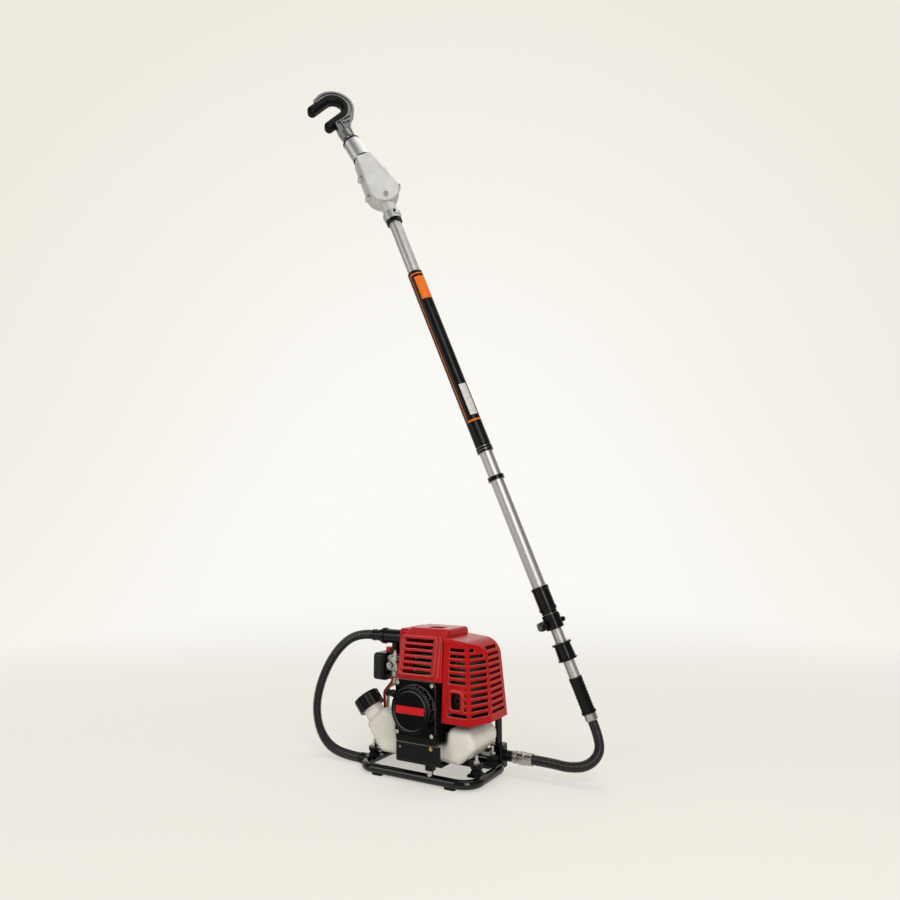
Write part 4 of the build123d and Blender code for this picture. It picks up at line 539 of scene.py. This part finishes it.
# Pale lines along the rims, on the side that turns up, right and to the front: a painted highlight.
drum_black.edge_wear_and_highlight(
    (0.34, 0.34, 0.33), amount=0.8, radius=0.0022, patches=(-0.2, 0.2), highlight_towards=(0.45, -0.5, 0.74)
).soft_edges(0.002)
dark_grey = moulded("dark_grey_plastic", (0.012, 0.012, 0.013), 0.34, Specular_IOR_Level=0.2)
red_plastic = moulded(
    "red_plastic", (0.42, 0.0045, 0.0065), 0.20, grain=1400.0, depth=0.00004, Specular_IOR_Level=0.13
)
# Pale red lines along the edges that turn up and to the front: a painted highlight.
red_plastic.edge_wear_and_highlight(
    (0.90, 0.28, 0.24), amount=0.8, radius=0.003, patches=(-0.1, 0.30), highlight_towards=(0.25, -0.6, 0.76)
).soft_edges(0.0015)
badge_red = moulded(
    "badge_red", (0.55, 0.008, 0.012), 0.24, grain=1500.0, depth=0.00003, Specular_IOR_Level=0.16
)
tank_plastic = moulded(
    "tank_polyethylene", (0.72, 0.69, 0.64), 0.24, grain=300.0, depth=0.00004, Specular_IOR_Level=0.45
).soft_edges(0.008)
# Heat-stained steel for the muffler, also used for the dark sheets of painted shade inside the covers.
burnt_steel_and_shade = plated("heat_stained_steel", (0.09, 0.075, 0.065), 0.50)
# A darker copy of the cast aluminium for the cylinder inside the cowl, with more darkening in its pockets:
# all painted shade.
cylinder_shade_metal = cast_metal("aluminium_in_shade", (0.16, 0.145, 0.12), 0.50).painted_pocket_shade((0.02, 0.018, 0.015))
bronze = plated("bronze", (0.50, 0.36, 0.16), 0.35)
fuel_tubes = two_tone(
    "fuel_tubing", direction=(0.35, 1, 0), split=-0.0562, first=(0.42, 0.02, 0.015),
    second=(0.60, 0.52, 0.38), roughness=0.22, Transmission_Weight=0.2,
)
plug_parts = two_tone(
    "plug_and_boot", direction=(0, 0, 1), split=0.3262, first=(0.45, 0.28, 0.10),
    second=(0.005, 0.005, 0.0055), roughness=0.30,
)
sleeve = sleeve_finish()

LOOKS = {
    gloss_coat: ["base_hoop", "rear_bar"],
    black_coat: ["frame_fittings", "engine_cradle"],
    rubber: ["rubber_mounts"],
    zinc: ["studs_and_screws", "throttle_lever", "plunger", "gearbox_screws"],
    aluminium: ["crankcase", "carburettor", "clutch_housing", "flywheel_fan", "piston"],
    cylinder_shade_metal: ["cylinder"],
    guide_metal: ["plunger_guide", "gearbox_collar"],
    plug_parts: ["ignition_parts"],
    black_plastic: [
        "fan_housing", "intake_manifold", "air_filter_base", "starter_reel", "starter_handle",
        "fuel_cap", "guide_bush",
    ],
    drum_black: ["starter_housing"],
    dark_grey: ["air_filter_cover"],
    gloss_black: [
        "intake_elbow", "hose_union", "lower_grips", "telescope_clamp", "collars_and_seals", "clamp_knob",
    ],
    red_plastic: ["engine_cowl", "muffler_guard", "choke_knob"],
    burnt_steel_and_shade: ["muffler"],
    tank_plastic: ["fuel_tank"],
    fuel_tubes: ["fuel_lines"],
    hose_rubber: ["rear_drive_hose"],
    polished: ["coupling_socket", "coupling_collar", "hose_fittings"],
    dull_steel: ["crankshaft", "clutch_drum", "lower_shaft", "upper_shaft", "crank_gear", "head_rod"],
    tube_metal: ["inner_tube", "outer_tube"],
    bronze: ["inner_tube_bushes", "upper_shaft_bushes"],
    sleeve: ["label_sleeve"],
    gearbox_paint: ["gearbox_front", "gearbox_rear"],
    hook_metal: ["hook_casting"],
    liner_rubber: ["hook_liner"],
}
for finish, names in LOOKS.items():
    for name in names:
        mesh = nodes[name].data
        mesh.materials.clear()
        mesh.materials.append(finish.mat)


# Cords
def route_points(name, route, step):
    """Evenly spaced points read from the smooth line that has the route's points as control points."""
    data = bpy.data.curves.new(name, "CURVE")
    data.dimensions = "3D"
    data.resolution_u = 48
    spline = data.splines.new("NURBS")
    spline.points.add(len(route) - 1)
    for point, place in zip(spline.points, route):
        point.co = (*place, 1.0)
    spline.order_u = 3
    spline.use_endpoint_u = True
    curve = bpy.data.objects.new(name, data)
    scene.collection.objects.link(curve)
    bpy.context.view_layer.update()
    line = [v.co.copy() for v in bpy.data.meshes.new_from_object(curve).vertices]
    bpy.data.objects.remove(curve)

    lengths = [0.0]
    for a, b in zip(line, line[1:]):
        lengths.append(lengths[-1] + (b - a).length)
    count = round(lengths[-1] / step)
    points = []
    at = 0
    for i in range(count + 1):
        s = lengths[-1] * i / count
        while at < len(line) - 2 and lengths[at + 1] < s:
            at += 1
        share = (s - lengths[at]) / (lengths[at + 1] - lengths[at])
        points.append(line[at].lerp(line[at + 1], min(1.0, share)))
    return points, lengths[-1]


def finish_mesh(name, bm, body, finish, smooth=True):
    """Makes a piece from a mesh under construction and lets it ride on a body."""
    mesh = bpy.data.meshes.new(name)
    bmesh.ops.recalc_face_normals(bm, faces=bm.faces)
    bm.to_mesh(mesh)
    bm.free()
    mesh.polygons.foreach_set("use_smooth", [smooth] * len(mesh.polygons))
    mesh.materials.append(finish.mat)
    piece = bpy.data.objects.new(name, mesh)
    scene.collection.objects.link(piece)
    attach(piece, body)
    return piece


def skin(bm, rings, close=False):
    """Faces between rings of points, with the two ends capped or joined to each other."""
    count = len(rings[0])
    pairs = list(zip(rings, rings[1:]))
    if close:
        pairs.append((rings[-1], rings[0]))
    for a, b in pairs:
        for k in range(count):
            bm.faces.new((a[k], a[(k + 1) % count], b[(k + 1) % count], b[k]))
    if not close:
        bm.faces.new(list(reversed(rings[0])))
        bm.faces.new(rings[-1])


def tube_rings(bm, points, radius_at, sides, close=False):
    """Rings of points round a line, each square to it."""
    rings = []
    last = len(points) - 1
    side = Vector((0.0, 1.0, 0.0))
    for i, p in enumerate(points):
        after = points[(i + 1) % len(points)] if close else points[min(i + 1, last)]
        before = points[i - 1] if close else points[max(i - 1, 0)]
        tangent = (after - before).normalized()
        side = (side - tangent * side.dot(tangent)).normalized()
        up = tangent.cross(side)
        r = radius_at(i)
        angles = [2 * math.pi * k / sides for k in range(sides)]
        rings.append([bm.verts.new(p + (side * math.cos(a) + up * math.sin(a)) * r) for a in angles])
    return rings


def intake_hose():
    """Corrugated hose: every wave of its wall is eight rings long."""
    rings_a_wave = 8
    pitch = 0.0052
    mean_r = 0.0110
    wave_r = 0.0013
    sides = 28
    points, length = route_points("intake_line", INTAKE_ROUTE, pitch / rings_a_wave)

    def radius(i):
        wave = math.cos(2 * math.pi * i / rings_a_wave)
        return mean_r + wave_r * math.copysign(abs(wave) ** 0.6, wave)

    bm = bmesh.new()
    skin(bm, tube_rings(bm, points, radius, sides))
    # The ridges take the lighter rubber as a painted highlight; the grooves keep the plain dark rubber.
    for i, face in enumerate(bm.faces):
        phase = (i // sides) % rings_a_wave
        in_groove = 1 < phase < rings_a_wave - 2
        face.material_index = 1 if in_groove else 0
    hose = finish_mesh("corrugated_hose", bm, "frame", lit_ridge_rubber)
    hose.data.materials.append(hose_rubber.mat)
    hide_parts("intake_hose")


def drive_hose():
    """Rubber cover with the fine rings of the winding under it."""
    rings_a_wave = 6
    pitch = 0.003
    mean_r = 0.01165
    wave_r = 0.00035
    sides = 32
    points, length = route_points("drive_line", DRIVE_ROUTE, pitch / rings_a_wave)

    def radius(i):
        return mean_r + wave_r * math.cos(2 * math.pi * i / rings_a_wave)

    bm = bmesh.new()
    skin(bm, tube_rings(bm, points, radius, sides))
    hose = finish_mesh("drive_hose_cover", bm, "pole", hose_rubber)
    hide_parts("drive_hose")


# Small pieces
def ring_points(kind, radius, height, sides):
    """A round or hexagonal ring of points about Z."""
    points = []
    for k in range(sides):
        a = 2 * math.pi * k / sides
        r = radius
        if kind == "hex":
            r = radius / math.cos((a + math.pi / 6) % (math.pi / 3) - math.pi / 6)
        points.append(Vector((r * math.cos(a), r * math.sin(a), height)))
    return points


def stacked(name, place, rings, body, finish, sides=36):
    """A fastener built up from round and hexagonal rings, closed at both ends."""
    bm = bmesh.new()
    levels = []
    for kind, radius, height in rings:
        levels.append([bm.verts.new(place @ p) for p in ring_points(kind, radius, height, sides)])
    skin(bm, levels)
    return finish_mesh(name, bm, body, finish, smooth=False)


def hex_bolt(name, place, across, body, finish):
    """A hexagon head on its washer."""
    half = across / 2
    washer_r = 1.7 * half
    washer_top = 0.10 * across
    rings = [
        ("round", washer_r, 0.0),
        ("round", washer_r, washer_top),
        ("hex", half, washer_top),
        ("hex", half, 0.60 * across),
        ("round", 0.92 * half, 0.66 * across),
    ]
    return stacked(name, place, rings, body, finish)


def socket_screw(name, place, radius, body, finish):
    """A cap head with a hexagon socket."""
    top = 0.9 * radius
    socket_r = 0.5 * radius
    rings = [
        ("round", radius, 0.0),
        ("round", radius, 0.75 * radius),
        ("round", 0.88 * radius, top),
        ("hex", socket_r, top),
        ("hex", socket_r, 0.3 * radius),
    ]
    return stacked(name, place, rings, body, finish)


def sheet(name, place, outline, edges, body, finish):
    """A thin flat piece.

    Its outline is pairs of a point and a way out, and its edges are pairs of a reach and a height.
    """
    bm = bmesh.new()
    levels = []
    for reach, height in edges:
        up = Vector((0, 0, height))
        levels.append([bm.verts.new(place @ (c + d * reach + up)) for c, d in outline])
    skin(bm, levels)
    return finish_mesh(name, bm, body, finish, smooth=False)


def rounded_plate(name, place, size, corner, thick, body, finish):
    """A thin plate with rounded corners and a soft front edge."""
    outline = []
    steps = 6
    for turn, (sx, sy) in enumerate(((1, 1), (-1, 1), (-1, -1), (1, -1))):
        centre = Vector((sx * (size[0] / 2 - corner), sy * (size[1] / 2 - corner), 0))
        for k in range(steps + 1):
            a = math.pi / 2 * (turn + k / steps)
            outline.append((centre, Vector((math.cos(a), math.sin(a), 0))))
    edges = ((corner, 0.0), (corner, 0.6 * thick), (0.8 * corner, thick))
    return sheet(name, place, outline, edges, body, finish)


def starter_badge():
    """The plain red band across the drum's face."""
    place = Matrix.Translation((ENGINE_X, FACE_Y, CRANK_Z)) @ to_front
    size = (0.080, 0.0175)
    rounded_plate("badge_band", place, size, 0.0022, 0.0008, "frame", badge_red)


def cradle_trim():
    """The bare edge of the cradle's front wall, with the bolt and the screw below it."""
    lip = Matrix.Translation((0.025, -0.106, PLATE_TOP))
    size = (0.121, 0.0046)
    rounded_plate("cradle_lip", lip, size, 0.0012, 0.0007, "frame", polished)
    bolt = Matrix.Translation((0.062, PLATE_Y, PLATE_TOP - 0.006)) @ to_front
    hex_bolt("cradle_bolt", bolt, 0.0055, "frame", brass)
    screw = Matrix.Translation((-0.024, PLATE_Y, PLATE_TOP - 0.011)) @ to_front
    socket_screw("cradle_screw", screw, 0.003, "frame", dull_steel)


def carburettor_fittings():
    """Cover screws, the pump's bolt, and the idle screw with its spring."""
    for i, (dx, dz) in enumerate([(-0.012, -0.014), (-0.012, 0.014), (0.006, -0.014)]):
        place = Matrix.Translation((CARB.x + dx, CARB_FRONT, CARB.z + dz)) @ to_front
        socket_screw(f"carburettor_screw_{i}", place, 0.0026, "frame", zinc)
    place = Matrix.Translation((CARB.x - 0.006, CARB_FRONT - 0.006, CARB.z - 0.004)) @ to_front
    hex_bolt("pump_bolt", place, 0.006, "frame", zinc)

    start = Vector((CARB.x + 0.004, CARB_FRONT + 0.002, CARB.z + 0.021))
    spring_r = 0.0034
    spring_length = 0.014
    wire_r = 0.0006
    steps_a_turn = 14
    steps = 6 * steps_a_turn
    points = []
    for k in range(steps + 1):
        a = 2 * math.pi * k / steps_a_turn
        out = -spring_length * k / steps
        points.append(start + Vector((spring_r * math.cos(a), out, spring_r * math.sin(a))))
    bm = bmesh.new()
    skin(bm, tube_rings(bm, points, lambda i: wire_r, sides=8))
    finish_mesh("idle_spring", bm, "frame", zinc)
    place = Matrix.Translation(start + Vector((0, -spring_length, 0))) @ to_front
    socket_screw("idle_screw", place, spring_r, "frame", zinc)


def elbow_clip():
    """The band round the elbow's end."""
    place = Matrix.Translation(ELBOW_END) @ to_right
    edge_r = 0.0182
    band_r = 0.0206
    band = [
        ("round", edge_r, 0.0),
        ("round", band_r, 0.0014),
        ("round", band_r, 0.0096),
        ("round", edge_r, 0.011),
    ]
    stacked("elbow_clip", place, band, "frame", gloss_black, sides=48)


def gearbox_fittings():
    """The filler screw low on the gearbox's face, and the collar's clamping screw."""
    face = head_frame @ Matrix.Translation((-0.006, -0.027, -0.025)) @ to_front
    socket_screw("grease_screw", face, 0.0066, "head", zinc)
    collar = pole_frame @ Matrix.Translation((0.004, -0.0255, COLLAR_STATION)) @ to_front
    socket_screw("collar_screw", collar, 0.0036, "head", gloss_black)


def painted_shade_sheets():
    """Painted shade: dark sheets inside the covers, so that their slots look dark inside: one under the
    muffler, one under the inlet port.
    """
    corners = [(0.094, -0.092), (0.157, -0.092), (0.178, -0.034), (0.178, 0.049), (0.094, 0.049)]
    middle = Vector((0.135, -0.02, 0))
    points = [Vector((x, y, 0)) for x, y in corners]
    outline = [(p, (p - middle).normalized()) for p in points]
    edges = ((0.0, 0.1472), (0.001, 0.1474), (0.001, 0.1482), (0.0, 0.1484))
    sheet("muffler_shade_sheet", Matrix.Identity(4), outline, edges, "frame", burnt_steel_and_shade)
    inlet = Matrix.Translation((-0.0436, -0.008, 0.2352)) @ to_right
    size = (0.0136, 0.100)
    rounded_plate("inlet_shade_sheet", inlet, size, 0.002, 0.001, "frame", burnt_steel_and_shade)


def weld_bead():
    """The bead where the rear bar's left leg stands on the hoop."""
    outward = Vector((-1, 1, 0)).normalized()  # across the hoop, which bends round this corner
    stand_off = 0.0006
    bead_r = 0.0021
    ripple_r = 0.0003
    points_a_ripple = 6
    count = 90
    points = []
    for k in range(count):
        a = 2 * math.pi * k / count
        way = Vector((math.cos(a), math.sin(a), 0))
        across = LEG_R * way.dot(outward)
        up = Vector((0, 0, math.sqrt(HOOP_R**2 - across**2)))
        points.append(LEG_FOOT + way * (LEG_R + stand_off) + up)

    def radius(i):
        return bead_r + ripple_r * math.cos(2 * math.pi * i / points_a_ripple)

    bm = bmesh.new()
    skin(bm, tube_rings(bm, points, radius, sides=12, close=True), close=True)
    finish_mesh("leg_weld", bm, "frame", black_coat)


intake_hose()
drive_hose()
starter_badge()
cradle_trim()
carburettor_fittings()
elbow_clip()
gearbox_fittings()
# Dark sheets inside the covers, as painted shade.
painted_shade_sheets()
weld_bead()
